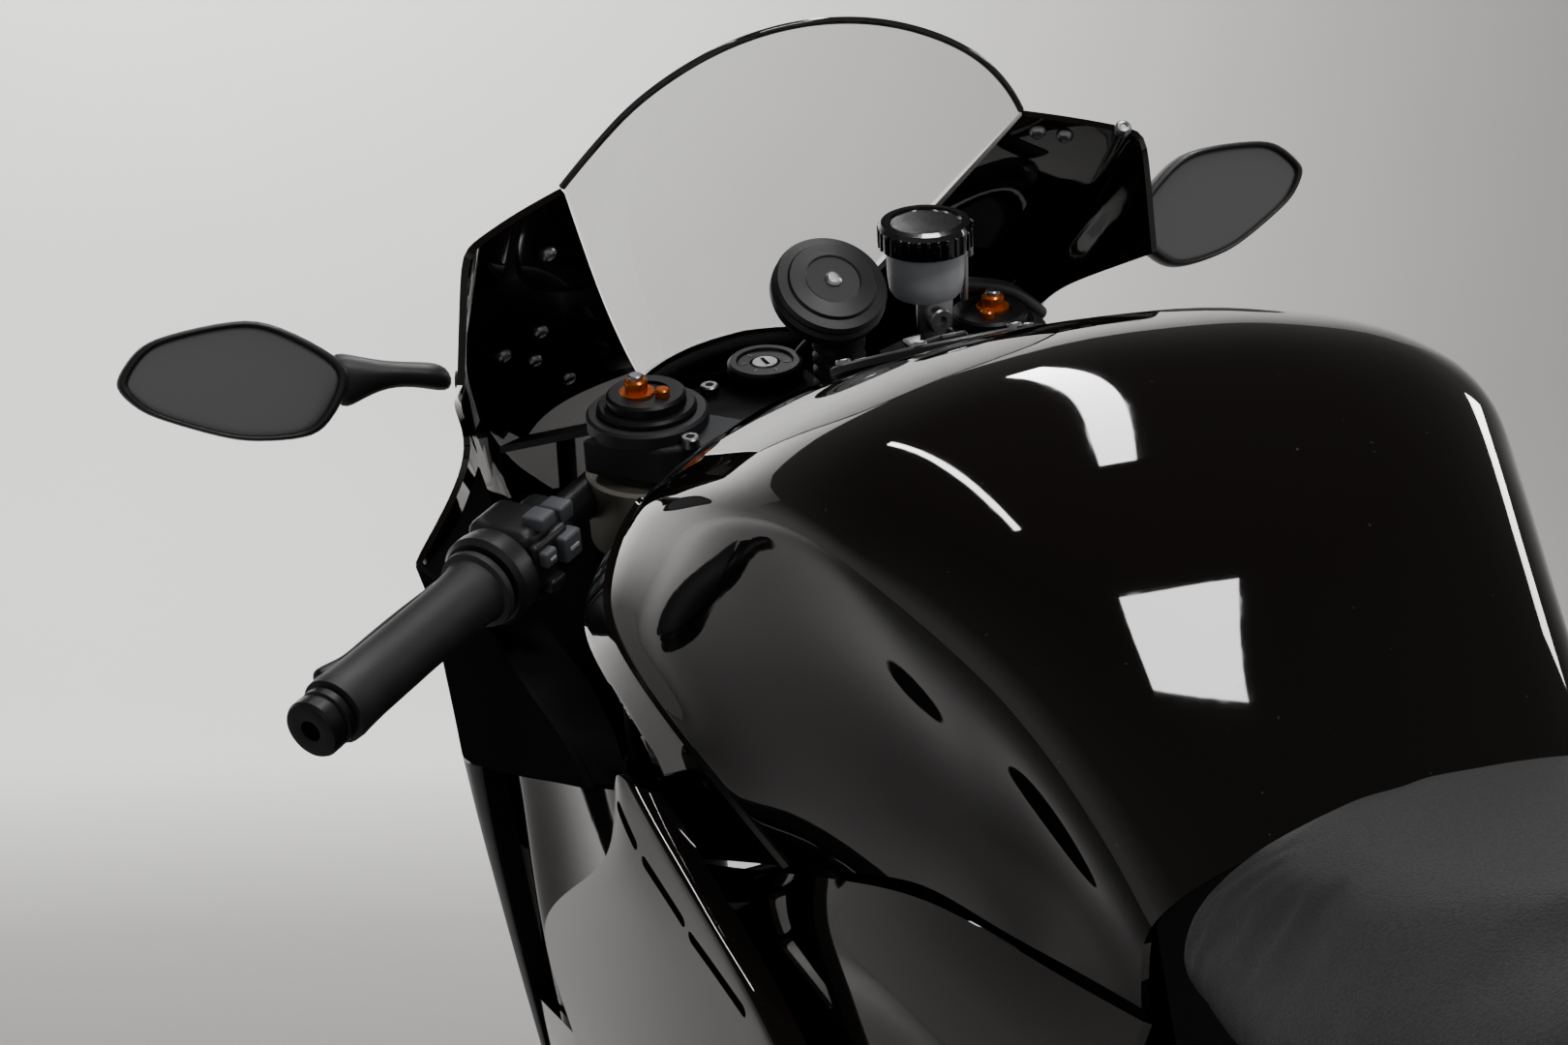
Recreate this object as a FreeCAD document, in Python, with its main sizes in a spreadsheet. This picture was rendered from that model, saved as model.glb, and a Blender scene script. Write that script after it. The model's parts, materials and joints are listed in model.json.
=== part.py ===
# A sport bike: a road racer with twin alloy spars, full fairing, clip-on bars and an under-slung exhaust.
# It is drawn upright, then leaned on its side stand. X runs forward from the rear axle, Y to the left, Z up.
# Steering parts are drawn in the steering frame: Z up the steering axis, X forward, Y left.
import FreeCAD, Part

import math
import os

import Sketcher
from FreeCAD import Placement, Rotation, Vector

os.makedirs("parts", exist_ok=True)
doc = FreeCAD.newDocument("sport_bike")

# Driving sizes, in millimetres and degrees: alias, value, what it is
SIZES = [
    ("wheelbase", 1405, "rear axle to front axle, level"),
    ("rake_angle", 24, "steering axis back from upright"),
    ("lean_angle", 12.8, "lean to the left on the side stand"),
    ("steer_angle", 5, "bars turned to the left as parked"),
    ("front_wheel_r", 300, "front tyre, outer radius"),
    ("rear_wheel_r", 318, "rear tyre, outer radius"),
    ("front_tyre_w", 120, "front tyre width"),
    ("rear_tyre_w", 190, "rear tyre width"),
    ("guard_gap", 8, "front tyre to its mudguard"),
    ("front_tyre_h", 82, "front tyre height, rim to tread"),
    ("rear_tyre_h", 100, "rear tyre height, rim to tread"),
    ("rim_wall", 13, "rim barrel thickness"),
    ("front_rim_w", 100, "front rim width over its flanges"),
    ("rear_rim_w", 160, "rear rim width over its flanges"),
    ("spoke_w", 30, "spoke thickness along the axle"),
    ("hub_r", 34, "wheel hub outer radius"),
    ("front_hub_w", 126, "front wheel hub width"),
    ("rear_hub_w", 150, "rear wheel hub width"),
    ("axle_r", 12.5, "wheel axle radius"),
    ("fit_gap", 0.3, "gap between pieces that seat on each other"),
    ("disc_r", 160, "front brake disc radius"),
    ("disc_t", 5, "brake disc thickness"),
    ("rear_disc_r", 110, "rear brake disc radius"),
    ("sprocket_r", 92, "rear sprocket tip radius"),
    ("sprocket_t", 7, "rear sprocket thickness"),
    ("front_sprocket_r", 36, "front sprocket tip radius"),
    ("front_sprocket_x", 640, "front sprocket ahead of the rear axle"),
    ("chain_y", 111, "chain line from the middle"),
    ("chain_w", 18, "chain width"),
    ("chain_h", 11, "chain side plate height"),
    ("fork_y", 105, "fork tube centre from the middle"),
    ("fork_offset", 28.84, "fork line and front axle ahead of the steering axis"),
    ("fork_length", 729, "front axle to fork cap"),
    ("fork_outer_r", 27, "fork outer tube radius"),
    ("fork_inner_r", 21.5, "fork inner tube radius"),
    ("fork_lap", 150, "fork inner tube's length inside the outer tube"),
    ("fork_outer_u", 330, "fork outer tube's lower end, up the steering axis"),
    ("upper_clamp_u", 700, "upper clamp's underside, up the steering axis"),
    ("lower_clamp_u", 480, "lower clamp's underside, up the steering axis"),
    ("clamp_t", 22, "triple clamp thickness"),
    ("stem_r", 17, "steering stem radius"),
    ("shaft_gap", 0.1, "running gap round the steering stem"),
    ("head_r", 31, "steering head outer radius"),
    ("bar_u", 684, "clip-on bar height up the steering axis"),
    ("bar_ahead", 33, "bar ahead of the fork tube"),
    ("bar_sweep", 36, "bar swept back"),
    ("bar_droop", 1.5, "bar dropped outwards"),
    ("bar_length", 268, "fork centre to bar end"),
    ("bar_r", 11, "bar tube radius"),
    ("grip_r", 16.5, "grip radius"),
    ("grip_length", 122, "grip length"),
    ("lever_reach", 62, "hand lever ahead of the bar"),
    ("lever_tilt", 30, "hand levers turned down round the bar"),
    ("puck_tilt", 34, "round mount on the stem, face tilted back"),
    ("bar_end_t", 16, "bar-end weight length beyond the grip"),
    ("panel_t", 4, "bodywork thickness"),
    ("spar_t", 34, "frame spar thickness"),
    ("pivot_x", 560, "swingarm pivot ahead of the rear axle"),
    ("pivot_z", 405, "swingarm pivot height"),
    ("arm_y", 126, "swingarm arm's inner face from the middle"),
    ("arm_t", 26, "swingarm arm thickness"),
    ("plate_y", 126, "frame pivot plate's inner face from the middle"),
    ("block_y", 96, "swingarm pivot block's end from the middle"),
    ("pivot_r", 10, "swingarm pivot bolt radius"),
    ("spool_r", 4, "paddock stand spool's thread radius, M8"),
    ("spool_depth", 18, "paddock stand spool's hole depth"),
    ("spool_x", 64, "paddock stand spool ahead of the rear axle"),
    ("spool_up", 12, "paddock stand spool above the rear axle"),
    ("plate_t", 22, "frame pivot plate thickness"),
    ("stand_x", 620, "side stand pivot ahead of the rear axle"),
    ("stand_y", 146, "side stand pivot from the middle"),
    ("stand_z", 262, "side stand pivot height"),
    ("foot_x", 668, "side stand foot ahead of the rear axle"),
    ("foot_y", 262, "side stand foot from the middle, upright"),
    ("foot_r", 22, "side stand foot radius"),
    ("foot_t", 8, "side stand foot thickness"),
    ("leg_r", 11, "side stand leg radius"),
    ("peg_x", 500, "rider's footrest ahead of the rear axle"),
    ("peg_z", 345, "rider's footrest height"),
    ("cap_x", 940, "fuel cap ahead of the rear axle"),
    ("cap_r", 42, "fuel cap radius"),
    ("cap_t", 8, "fuel cap thickness"),
    ("neck_r", 22, "filler neck radius"),
    ("neck_depth", 45, "filler neck depth below the cap"),
    ("lid_gap", 1.5, "gap round and under the fuel cap"),
    ("screen_t", 3, "windscreen thickness"),
]
sheet = doc.addObject("Spreadsheet::Sheet", "Sizes")
for row, (alias, value, meaning) in enumerate(SIZES, start=1):
    sheet.set(f"A{row}", meaning)
    sheet.set(f"B{row}", str(value))
    sheet.setAlias(f"B{row}", alias)
doc.recompute()
S = {alias: float(sheet.get(alias)) for alias, _, _ in SIZES}

NODES = []


def keep(obj, label, frame="bike"):
    """Registers a finished sub-part: its label names its file, frame the frame it was drawn in."""
    obj.Label = label
    NODES.append((obj, label, frame))
    return obj


def cell(obj, **bindings):
    """Binds properties of an object to cells of the size sheet."""
    for name, expression in bindings.items():
        obj.setExpression(name, expression)
    return obj


def feature(shape, label, frame="bike"):
    """A sub-part whose shape no parametric feature fits."""
    obj = doc.addObject("Part::Feature", label)
    obj.Shape = shape
    return keep(obj, label, frame)


def rod(start, end, radius):
    """A solid round bar from one point to another."""
    start, end = Vector(start), Vector(end)
    return Part.makeCylinder(radius, (end - start).Length, start, end - start)


def tube_along(points, radius):
    """A pipe through points, its corners rounded by spheres."""
    pieces = [rod(a, b, radius) for a, b in zip(points, points[1:])]
    pieces += [Part.makeSphere(radius, Vector(p)) for p in points[1:-1]]
    return fused(pieces)


def fused(shapes):
    shapes = list(shapes)
    return shapes[0].multiFuse(shapes[1:]).removeSplitter() if len(shapes) > 1 else shapes[0]


def box(x0, x1, y0, y1, z0, z1):
    return Part.makeBox(x1 - x0, y1 - y0, z1 - z0, Vector(x0, y0, z0))


def mirrored(shape):
    """The same shape on the other side of the bike."""
    return shape.mirror(Vector(0, 0, 0), Vector(0, 1, 0))


def prism(outline, y0, y1):
    """A plate cut to an outline of (x, z) points, between two distances from the middle."""
    wire = Part.makePolygon([Vector(x, y0, z) for x, z in outline + outline[:1]])
    return Part.Face(wire).extrude(Vector(0, y1 - y0, 0))


def loft(rings):
    """A solid through closed rings of points, its sides straight between them."""
    wires = [Part.makePolygon(ring + ring[:1]) for ring in rings]
    return Part.makeLoft(wires, True, True)


def inward(points, thickness):
    """The points of an open (y, z) outline, moved to its inner side by a wall thickness."""
    moved = []
    for i, (y, z) in enumerate(points):
        sums = Vector(0, 0, 0)
        for a, b in ((i - 1, i), (i, i + 1)):
            if a < 0 or b >= len(points):
                continue
            along = Vector(0, points[b][0] - points[a][0], points[b][1] - points[a][1]).normalize()
            sums = sums + Vector(0, along.z, -along.y)
        sums.normalize()
        moved.append((y + sums.y * thickness, z + sums.z * thickness))
    return moved


def panel(stations, thickness):
    """A bodywork shell. A station is (x at datum, slope of x with z, datum z, outer (y, z) points downwards)."""
    rings = []
    for x, slope, datum, outer in stations:
        points = outer + inward(outer, thickness)[::-1]
        rings.append([Vector(x + slope * (z - datum), y, z) for y, z in points])
    return loft(rings)


def hull_ring(x, half, slope=0.0, datum=0.0):
    """A closed ring from the (y, z) points of its left half, first and last on the middle plane."""
    points = half + [(-y, z) for y, z in half[-2:0:-1]]
    return [Vector(x + slope * (z - datum), y, z) for y, z in points]


# Sketch outlines whose corners are bound to the sheet
def plane_of(body, role):
    return next(f for f in body.Origin.OriginFeatures if f.Role == role)


def outline(body, role, name, corners):
    """A closed sketch. A corner is (x, y), or (x, y, r) where an arc of radius r leads on to the next corner,
    bulging to the right of its way if r > 0. Each value is an expression on the sheet, as text."""
    sketch = body.newObject("Sketcher::SketchObject", name)
    sketch.AttachmentSupport = (plane_of(body, role), [""])
    sketch.MapMode = "FlatFace"
    read = lambda text: float(sketch.evalExpression(text))
    spots = [Vector(read(c[0]), read(c[1]), 0) for c in corners]
    ends = []
    for i, corner in enumerate(corners):
        here, there = spots[i], spots[(i + 1) % len(spots)]
        if len(corner) == 2:
            geo = sketch.addGeometry(Part.LineSegment(here, there), False)
            ends.append((geo, 1, 2))
            continue
        radius = abs(read(corner[2]))
        chord = there - here
        normal = Vector(-chord.y, chord.x, 0).normalize()
        depth = math.sqrt(max(radius**2 - (chord.Length / 2) ** 2, 0))
        bulges_right = read(corner[2]) > 0
        centre = (here + there) / 2 + normal * (depth if bulges_right else -depth)
        first, last = (here, there) if bulges_right else (there, here)
        angles = [math.atan2(p.y - centre.y, p.x - centre.x) for p in (first, last)]
        arc = Part.ArcOfCircle(Part.Circle(centre, Vector(0, 0, 1), radius), *angles)
        geo = sketch.addGeometry(arc, False)
        ends.append((geo, 1, 2) if bulges_right else (geo, 2, 1))
        rule = Sketcher.Constraint("Radius", geo, radius)
        sketch.setExpression(f"Constraints[{sketch.addConstraint(rule)}]", f"abs({corner[2]})")
    for (geo, _, last), (after, first, _) in zip(ends, ends[1:] + ends[:1]):
        sketch.addConstraint(Sketcher.Constraint("Coincident", geo, last, after, first))
    for (geo, first, _), spot, corner in zip(ends, spots, corners):
        sides = (("DistanceX", spot.x, corner[0], -2), ("DistanceY", spot.y, corner[1], -1))
        for kind, value, text, axis in sides:
            if abs(value) < 1e-9:
                sketch.addConstraint(Sketcher.Constraint("PointOnObject", geo, first, axis))
            else:
                rule = Sketcher.Constraint(kind, -1, 1, geo, first, value)
                sketch.setExpression(f"Constraints[{sketch.addConstraint(rule)}]", text)
    return sketch


def turned(label, corners):
    """A body of revolution about Y, from (y, radius) corners."""
    body = doc.addObject("PartDesign::Body", label)
    sketch = outline(body, "YZ_Plane", label + "_profile", corners)
    turn = body.newObject("PartDesign::Revolution", label + "_turn")
    turn.Profile = sketch
    turn.ReferenceAxis = (sketch, ["H_Axis"])
    turn.Angle = 360
    body.Tip = turn
    return body


def pocket_ring(body, name, corners, count):
    """Windows through a wheel or disc: one pocket along Y, repeated round the axle."""
    sketch = outline(body, "XZ_Plane", name + "_window", corners)
    cut = body.newObject("PartDesign::Pocket", name + "_cut")
    cut.Profile = sketch
    cut.Type = "ThroughAll"
    cut.Midplane = True
    body.Tip = cut
    doc.recompute()
    ring = body.newObject("PartDesign::PolarPattern", name + "_ring")
    ring.Originals = [cut]
    ring.Axis = (sketch, ["N_Axis"])
    ring.Angle = 360
    ring.Occurrences = count
    cut.Visibility = False
    body.Tip = ring
    return body


# The frames: the steering frame, and the lean that sets both tyres on the floor
RAKE = math.radians(S["rake_angle"])
AXIS_UP = Vector(-math.sin(RAKE), 0, math.cos(RAKE))
AXIS_FORWARD = Vector(math.cos(RAKE), 0, math.sin(RAKE))
FRONT_AXLE = Vector(S["wheelbase"], 0, S["front_wheel_r"])
REAR_AXLE = Vector(0, 0, S["rear_wheel_r"])
STEER_ORIGIN = FRONT_AXLE - AXIS_FORWARD * S["fork_offset"]
UPRIGHT_STEER = Placement(STEER_ORIGIN, Rotation(Vector(0, 1, 0), -S["rake_angle"]))
PARKED_STEER = UPRIGHT_STEER.multiply(Placement(Vector(), Rotation(Vector(0, 0, 1), S["steer_angle"])))
AXLE_SPOT = Vector(S["fork_offset"], 0, 0)


def lowest_point(centre, axle, radius, crown):
    """How low a tyre reaches: its crown is round, with the given radius."""
    return centre.z - (radius - crown) * math.sqrt(max(1 - axle.z**2, 0)) - crown


def on_the_floor():
    """Leans the bike, then pitches and lifts it until both tyres touch the floor."""
    pitch, lift = 0.0, 0.0
    for _ in range(8):
        lean = Placement(Vector(0, 0, lift), Rotation(Vector(0, 1, 0), pitch)).multiply(
            Placement(Vector(), Rotation(Vector(1, 0, 0), -S["lean_angle"]))
        )
        lows = []
        for centre, steer, radius, width in (
            (REAR_AXLE, Placement(), S["rear_wheel_r"], S["rear_tyre_w"]),
            (PARKED_STEER.multVec(AXLE_SPOT), PARKED_STEER, S["front_wheel_r"], S["front_tyre_w"]),
        ):
            axle = lean.multiply(steer).Rotation.multVec(Vector(0, 1, 0))
            lows.append(lowest_point(lean.multVec(centre), axle, radius, width / 2))
        lift -= lows[0]
        pitch += math.degrees((lows[1] - lows[0]) / S["wheelbase"])
    return lean


LEAN = on_the_floor()

# Wheels: tyre, rim and brake discs turn about Y at their own centre
def tyre(label, end):
    wheel_r, width = f"Sizes.{end}_wheel_r", f"Sizes.{end}_tyre_w"
    bead = f"{width}*0.38"
    wall = f"{wheel_r} - Sizes.{end}_tyre_h + Sizes.fit_gap"
    shoulder = f"{wheel_r} - {width}/2 + 2"
    return turned(
        label,
        [
            (f"-{bead}", wall),
            (f"{bead}", wall),
            (f"{width}/2", shoulder, f"{width}/2 + 0.02"),
            (f"-{width}/2", shoulder),
        ],
    )


def rim(label, end, count):
    """A cast wheel: barrel, hub and web as one turning, with windows cut between its spokes."""
    half, hub = f"Sizes.{end}_rim_w/2", f"Sizes.{end}_hub_w"
    rim_r = f"(Sizes.{end}_wheel_r - Sizes.{end}_tyre_h)"
    inner = f"{rim_r} - Sizes.rim_wall"
    body = turned(
        label,
        [
            (f"-{hub}/2", "Sizes.axle_r + Sizes.fit_gap"),
            (f"{hub}/2", "Sizes.axle_r + Sizes.fit_gap"),
            (f"{hub}/2", "Sizes.hub_r"),
            ("Sizes.spoke_w/2", "Sizes.hub_r + 8"),
            ("Sizes.spoke_w/2 - 3", inner),
            (half, inner),
            (half, rim_r),
            (f"-{half}", rim_r),
            (f"-{half}", inner),
            ("-Sizes.spoke_w/2 + 3", inner),
            ("-Sizes.spoke_w/2", "Sizes.hub_r + 8"),
            (f"-{hub}/2", "Sizes.hub_r"),
        ],
    )
    reach = f"{inner} - 4"
    window = [("-13", "Sizes.hub_r + 16"), ("13", "Sizes.hub_r + 16"), ("64", f"{reach} - 12"), ("0", reach)]
    window += [("-64", f"{reach} - 12")]
    return pocket_ring(body, label, window, count)


def solid(kind, label, place=None, **bindings):
    """One of the plain Part primitives, its sizes bound to the sheet."""
    obj = doc.addObject("Part::" + kind, label)
    if place is not None:
        obj.Placement = place
    return cell(obj, **bindings)


def along(start, end):
    """The placement of a cylinder that runs from one point towards another."""
    way = Vector(end) - Vector(start)
    return Placement(Vector(start), Rotation(Vector(0, 0, 1), way))


def bar(label, start, end, radius):
    """A round bar between two points; its radius is an expression on the sheet."""
    obj = solid("Cylinder", label, along(start, end), Radius=radius)
    obj.Height = (Vector(end) - Vector(start)).Length
    return obj


def join(label, objs):
    obj = doc.addObject("Part::MultiFuse", label)
    obj.Shapes = objs
    obj.Refine = True
    return obj


def cut(label, base, tool):
    obj = doc.addObject("Part::Cut", label)
    obj.Base, obj.Tool = base, tool
    return obj


def flip(label, source):
    """The source mirrored to the right side of the bike."""
    obj = doc.addObject("Part::Mirroring", label)
    obj.Source = source
    obj.Normal = Vector(0, 1, 0)
    return obj


def padded(label, plane, corners, length, offset=None):
    """A plate: an outline padded by a length, from its plane or an offset from it."""
    body = doc.addObject("PartDesign::Body", label)
    sketch = outline(body, plane, label + "_outline", corners)
    if offset is not None:
        sketch.setExpression("AttachmentOffset.Base.z", offset)
    pad = body.newObject("PartDesign::Pad", label + "_pad")
    pad.Profile = sketch
    pad.setExpression("Length", length)
    pad.Midplane = offset is None
    body.Tip = pad
    return body


# Wheels
AXLE_TURN = {"front": AXLE_SPOT, "rear": REAR_AXLE}
for end, spokes in (("front", 5), ("rear", 5)):
    tyre_body = tyre(f"{end}_tyre", end)
    rim_body = rim(f"{end}_rim", end, spokes)
    for body in (tyre_body, rim_body):
        body.Placement = Placement(AXLE_TURN[end], Rotation())
        keep(body, body.Label, "steer" if end == "front" else "bike")


def disc(label, radius, inner):
    """A brake disc and its carrier: a ring with a dished centre that sits against the hub."""
    return turned(
        label,
        [
            (f"{inner}", "Sizes.axle_r + 12"),
            (f"{inner} + Sizes.disc_t", "Sizes.axle_r + 12"),
            (f"{inner} + Sizes.disc_t", radius),
            (f"{inner}", radius),
        ],
    )


left_disc = disc("front_disc_left", "Sizes.disc_r", "Sizes.front_hub_w/2")
right_disc = flip("front_disc_right", left_disc)
front_discs = join("front_discs", [left_disc, right_disc])
front_discs.Placement = Placement(AXLE_SPOT, Rotation())
keep(front_discs, "front_discs", "steer")
rear_disc_half = disc("rear_disc_left", "Sizes.rear_disc_r", "Sizes.rear_hub_w/2")
rear_disc = flip("rear_disc", rear_disc_half)
rear_disc.Placement = Placement(REAR_AXLE, Rotation())
keep(rear_disc, "rear_disc")

sprocket = turned(
    "rear_sprocket",
    [
        ("Sizes.rear_hub_w/2", "Sizes.axle_r + 12"),
        ("Sizes.chain_y + Sizes.sprocket_t/2", "Sizes.axle_r + 12"),
        ("Sizes.chain_y + Sizes.sprocket_t/2", "Sizes.sprocket_r"),
        ("Sizes.chain_y - Sizes.sprocket_t/2", "Sizes.sprocket_r"),
        ("Sizes.chain_y - Sizes.sprocket_t/2", "Sizes.hub_r + 22"),
        ("Sizes.rear_hub_w/2", "Sizes.hub_r"),
    ],
)
sprocket.Placement = Placement(REAR_AXLE, Rotation())
keep(sprocket, "rear_sprocket")

arm_out = S["arm_y"] + S["arm_t"]
axle_end = Vector(0, arm_out + 10, 0)
rear_axle = bar("rear_axle", REAR_AXLE - axle_end, REAR_AXLE + axle_end, "Sizes.axle_r")
keep(rear_axle, "rear_axle")

# Chain: a closed loop round both sprockets
front_sprocket = Vector(S["front_sprocket_x"], 0, S["pivot_z"])
way = front_sprocket - REAR_AXLE
lean_of_runs = math.asin((S["sprocket_r"] - S["front_sprocket_r"]) / way.Length)
heading = math.atan2(way.z, way.x)


def loop(extra):
    """The chain's outline as one face: two arcs and two straight runs, outside the sprockets by extra."""
    edges, ends = [], []
    spots = ((REAR_AXLE, S["sprocket_r"], 1), (front_sprocket, S["front_sprocket_r"], -1))
    for centre, radius, far in spots:
        upper = heading + math.pi / 2 - lean_of_runs
        lower = heading - math.pi / 2 + lean_of_runs
        middle = heading + (math.pi if far > 0 else 0)
        at = lambda angle: centre + Vector(math.cos(angle), 0, math.sin(angle)) * (radius + extra)
        edges.append(Part.Arc(at(upper), at(middle), at(lower)).toShape())
        ends.append((at(upper), at(lower)))
    (rear_up, rear_low), (front_up, front_low) = ends
    edges += [Part.makeLine(rear_up, front_up), Part.makeLine(rear_low, front_low)]
    return Part.Wire(Part.__sortEdges__(edges))


outer_loop, inner_loop = (Part.Face(loop(extra)) for extra in (1.5 + S["chain_h"], 1.5))
chain_solid = outer_loop.cut(inner_loop).extrude(Vector(0, S["chain_w"], 0))
chain_solid.translate(Vector(0, S["chain_y"] - S["chain_w"] / 2, 0))
feature(chain_solid, "chain")

# Swingarm: a front block between the pivot plates, two arms, and a bridge ahead of the tyre
arm_low, arm_top = "Sizes.rear_wheel_r - 30", "Sizes.rear_wheel_r + 34"
tyre_clear = "Sizes.rear_wheel_r + 26"
swing_arms = padded(
    "swing_arms",
    "XZ_Plane",
    [
        ("-62", "Sizes.rear_wheel_r - 22"),
        ("Sizes.pivot_x - 64", "Sizes.pivot_z - 48"),
        ("Sizes.pivot_x - 64", "Sizes.pivot_z + 58"),
        ("Sizes.pivot_x - 190", "Sizes.pivot_z + 62"),
        ("120", arm_top),
        ("-62", "Sizes.rear_wheel_r + 22"),
    ],
    "2*(Sizes.arm_y + Sizes.arm_t)",
)
gap_sketch = outline(
    swing_arms,
    "XY_Plane",
    "wheel_gap",
    [
        ("-120", "-Sizes.arm_y"),
        (tyre_clear, "-Sizes.arm_y"),
        (tyre_clear, "Sizes.arm_y"),
        ("-120", "Sizes.arm_y"),
    ],
)
gap = swing_arms.newObject("PartDesign::Pocket", "wheel_gap_cut")
gap.Profile = gap_sketch
gap.Type = "ThroughAll"
gap.Midplane = True
swing_arms.Tip = gap
pivot_block = padded(
    "pivot_block",
    "XZ_Plane",
    [
        ("Sizes.pivot_x - 64", "Sizes.pivot_z - 40"),
        ("Sizes.pivot_x", "Sizes.pivot_z - 34", "34.2"),
        ("Sizes.pivot_x", "Sizes.pivot_z + 34"),
        ("Sizes.pivot_x - 64", "Sizes.pivot_z + 50"),
    ],
    "2*Sizes.block_y",
)
arm_blank = join("arm_blank", [swing_arms, pivot_block])
PIVOT = Vector(S["pivot_x"], 0, S["pivot_z"])
ACROSS = Vector(0, 300, 0)
arm_holes = [
    bar("axle_hole", REAR_AXLE - ACROSS, REAR_AXLE + ACROSS, "Sizes.axle_r + 0.05"),
    bar("pivot_hole", PIVOT - ACROSS, PIVOT + ACROSS, "Sizes.pivot_r + 0.05"),
]
for side in (1, -1):
    mouth = Vector(S["spool_x"], side * arm_out, S["rear_wheel_r"] + S["spool_up"])
    name = "spool_hole_left" if side > 0 else "spool_hole_right"
    arm_holes.append(bar(name, mouth, mouth - Vector(0, side * S["spool_depth"], 0), "Sizes.spool_r"))
chain_way = doc.addObject("Part::Feature", "chain_way")
clear = 9
chain_tunnel = Part.Face(loop(1.5 + S["chain_h"] + clear)).cut(Part.Face(loop(1.5 - clear)))
chain_way.Shape = chain_tunnel.extrude(Vector(0, S["chain_w"] + 2 * clear, 0))
chain_way.Placement = Placement(Vector(0, S["chain_y"] - S["chain_w"] / 2 - clear, 0), Rotation())
arm_holes.append(chain_way)
swingarm = keep(cut("swingarm", arm_blank, join("arm_cuts", arm_holes)), "swingarm")
bolt_end = S["plate_y"] + S["plate_t"] + 3
bolt_side = Vector(0, bolt_end, 0)
pivot_bolt = bar("swingarm_pivot", PIVOT - bolt_side, PIVOT + bolt_side, "Sizes.pivot_r")
keep(pivot_bolt, "swingarm_pivot")

# Main frame: steering head, two spars and two pivot plates
head_low = STEER_ORIGIN + AXIS_UP * (S["lower_clamp_u"] + S["clamp_t"] + 2)
head_top = STEER_ORIGIN + AXIS_UP * (S["upper_clamp_u"] - 2)
head_mid = (head_low + head_top) / 2
SPAR = [
    # x, y of the centre line, z, height
    (head_mid.x - 8, 26, head_mid.z, 130),
    (985, 98, 785, 120),
    (800, 118, 672, 112),
    (650, 132, 560, 104),
]


def spar_ring(x, y, z, height):
    half = S["spar_t"] / 2
    tilt = Vector(0.55, 0, -0.83) * (height / 2)
    across = Vector(0, half, 0)
    middle = Vector(x, y, z)
    return [middle + across + tilt, middle - across + tilt, middle - across - tilt, middle + across - tilt]


spar = loft([spar_ring(*row) for row in SPAR])
PLATE = [(660, 640), (560, 600), (512, 470), (512, 330), (560, 285), (650, 290), (700, 420), (720, 560)]
plate = prism(PLATE, 0, S["plate_t"])
plate.translate(Vector(0, S["plate_y"], 0))
head = rod(head_low, head_top, S["head_r"])
cross_tube = rod((600, -S["plate_y"] - 4, 592), (600, S["plate_y"] + 4, 592), 14)
TANK_FLOOR, FLOOR = 862, 786
tank_posts = [rod((972, y, 790), (972, y, TANK_FLOOR - 0.3), 10) for y in (-94, 94)]
tank_tube = rod((700, -122, 640), (700, 122, 640), 12)
tank_saddle = box(688, 712, -50, 50, 640, FLOOR - 0.3)
frame_parts = [head, spar, mirrored(spar), plate, mirrored(plate)]
frame_parts += [cross_tube, tank_tube, tank_saddle] + tank_posts
frame_shape = fused(frame_parts)
head_bore = rod(head_low - AXIS_UP * 40, head_top + AXIS_UP * 40, S["stem_r"] + S["shaft_gap"])
frame_shape = frame_shape.cut(head_bore)
frame_shape = frame_shape.cut(rod(PIVOT - ACROSS, PIVOT + ACROSS, S["pivot_r"] + 0.05))

# Seat rails
rail = tube_along([(600, 92, 592), (430, 92, 680), (290, 86, 700), (140, 62, 785)], 12)
ties = [rod((430, -92, 680), (430, 92, 680), 10), rod((140, -62, 785), (140, 62, 785), 10)]
tail_posts = [rod((424, y, 680), (424, y, 705.7), 8) for y in (-92, 92)]
feature(fused([rail, mirrored(rail)] + ties + tail_posts).cut(frame_shape), "seat_rails")

# Engine: gearbox, crankcase and cylinders as one block
GEARBOX = [(592, 470), (592, 250), (620, 224), (760, 224), (760, 500), (640, 500)]
CRANKCASE = [(750, 500), (735, 300), (750, 236), (940, 236), (985, 300), (985, 460), (960, 500)]
CYLINDERS = [(810, 480), (970, 470), (1022, 570), (1000, 632), (890, 632), (840, 590)]
blocks = [prism(GEARBOX, -94, 94), prism(CRANKCASE, -150, 150), prism(CYLINDERS, -165, 165)]
mount_y = S["plate_y"] - S["fit_gap"]
covers = [rod((860, -165, 370), (860, 165, 370), 80), rod((676, -mount_y, 486), (676, mount_y, 486), 13)]
output = fused(
    [
        rod(front_sprocket, front_sprocket + Vector(0, S["chain_y"] + S["sprocket_t"], 0), 14),
        rod(
            front_sprocket + Vector(0, S["chain_y"] - S["sprocket_t"] / 2, 0),
            front_sprocket + Vector(0, S["chain_y"] + S["sprocket_t"] / 2, 0),
            S["front_sprocket_r"],
        ),
    ]
)
engine_shape = fused(blocks + [output] + covers)
feature(engine_shape, "engine")

# Radiator, behind the front wheel
radiator = prism([(1085, 700), (1035, 420), (1070, 414), (1120, 692)], -150, 150)
radiator_stays = [rod((970, y, 440), (1045, y, 440), 6) for y in (-81, 81)]
feature(fused([radiator] + radiator_stays).cut(engine_shape), "radiator")

# Exhaust: four headers into a collector, and a silencer on the right
PORTS = [-120, -42, 42, 120]
headers = []
for port in PORTS:
    route = [(990, port, 545), (1012, port, 430), (1004, port * 0.7, 262), (930, port * 0.3, 196)]
    headers.append(tube_along(route, 17))
collector = tube_along([(960, 0, 196), (640, 0, 196), (540, -96, 206), (446, -210, 258)], 24)
silencer = rod((436, -214, 262), (96, -226, 420), 48)
feature(fused(headers + [collector, silencer]).cut(engine_shape), "exhaust")

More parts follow.
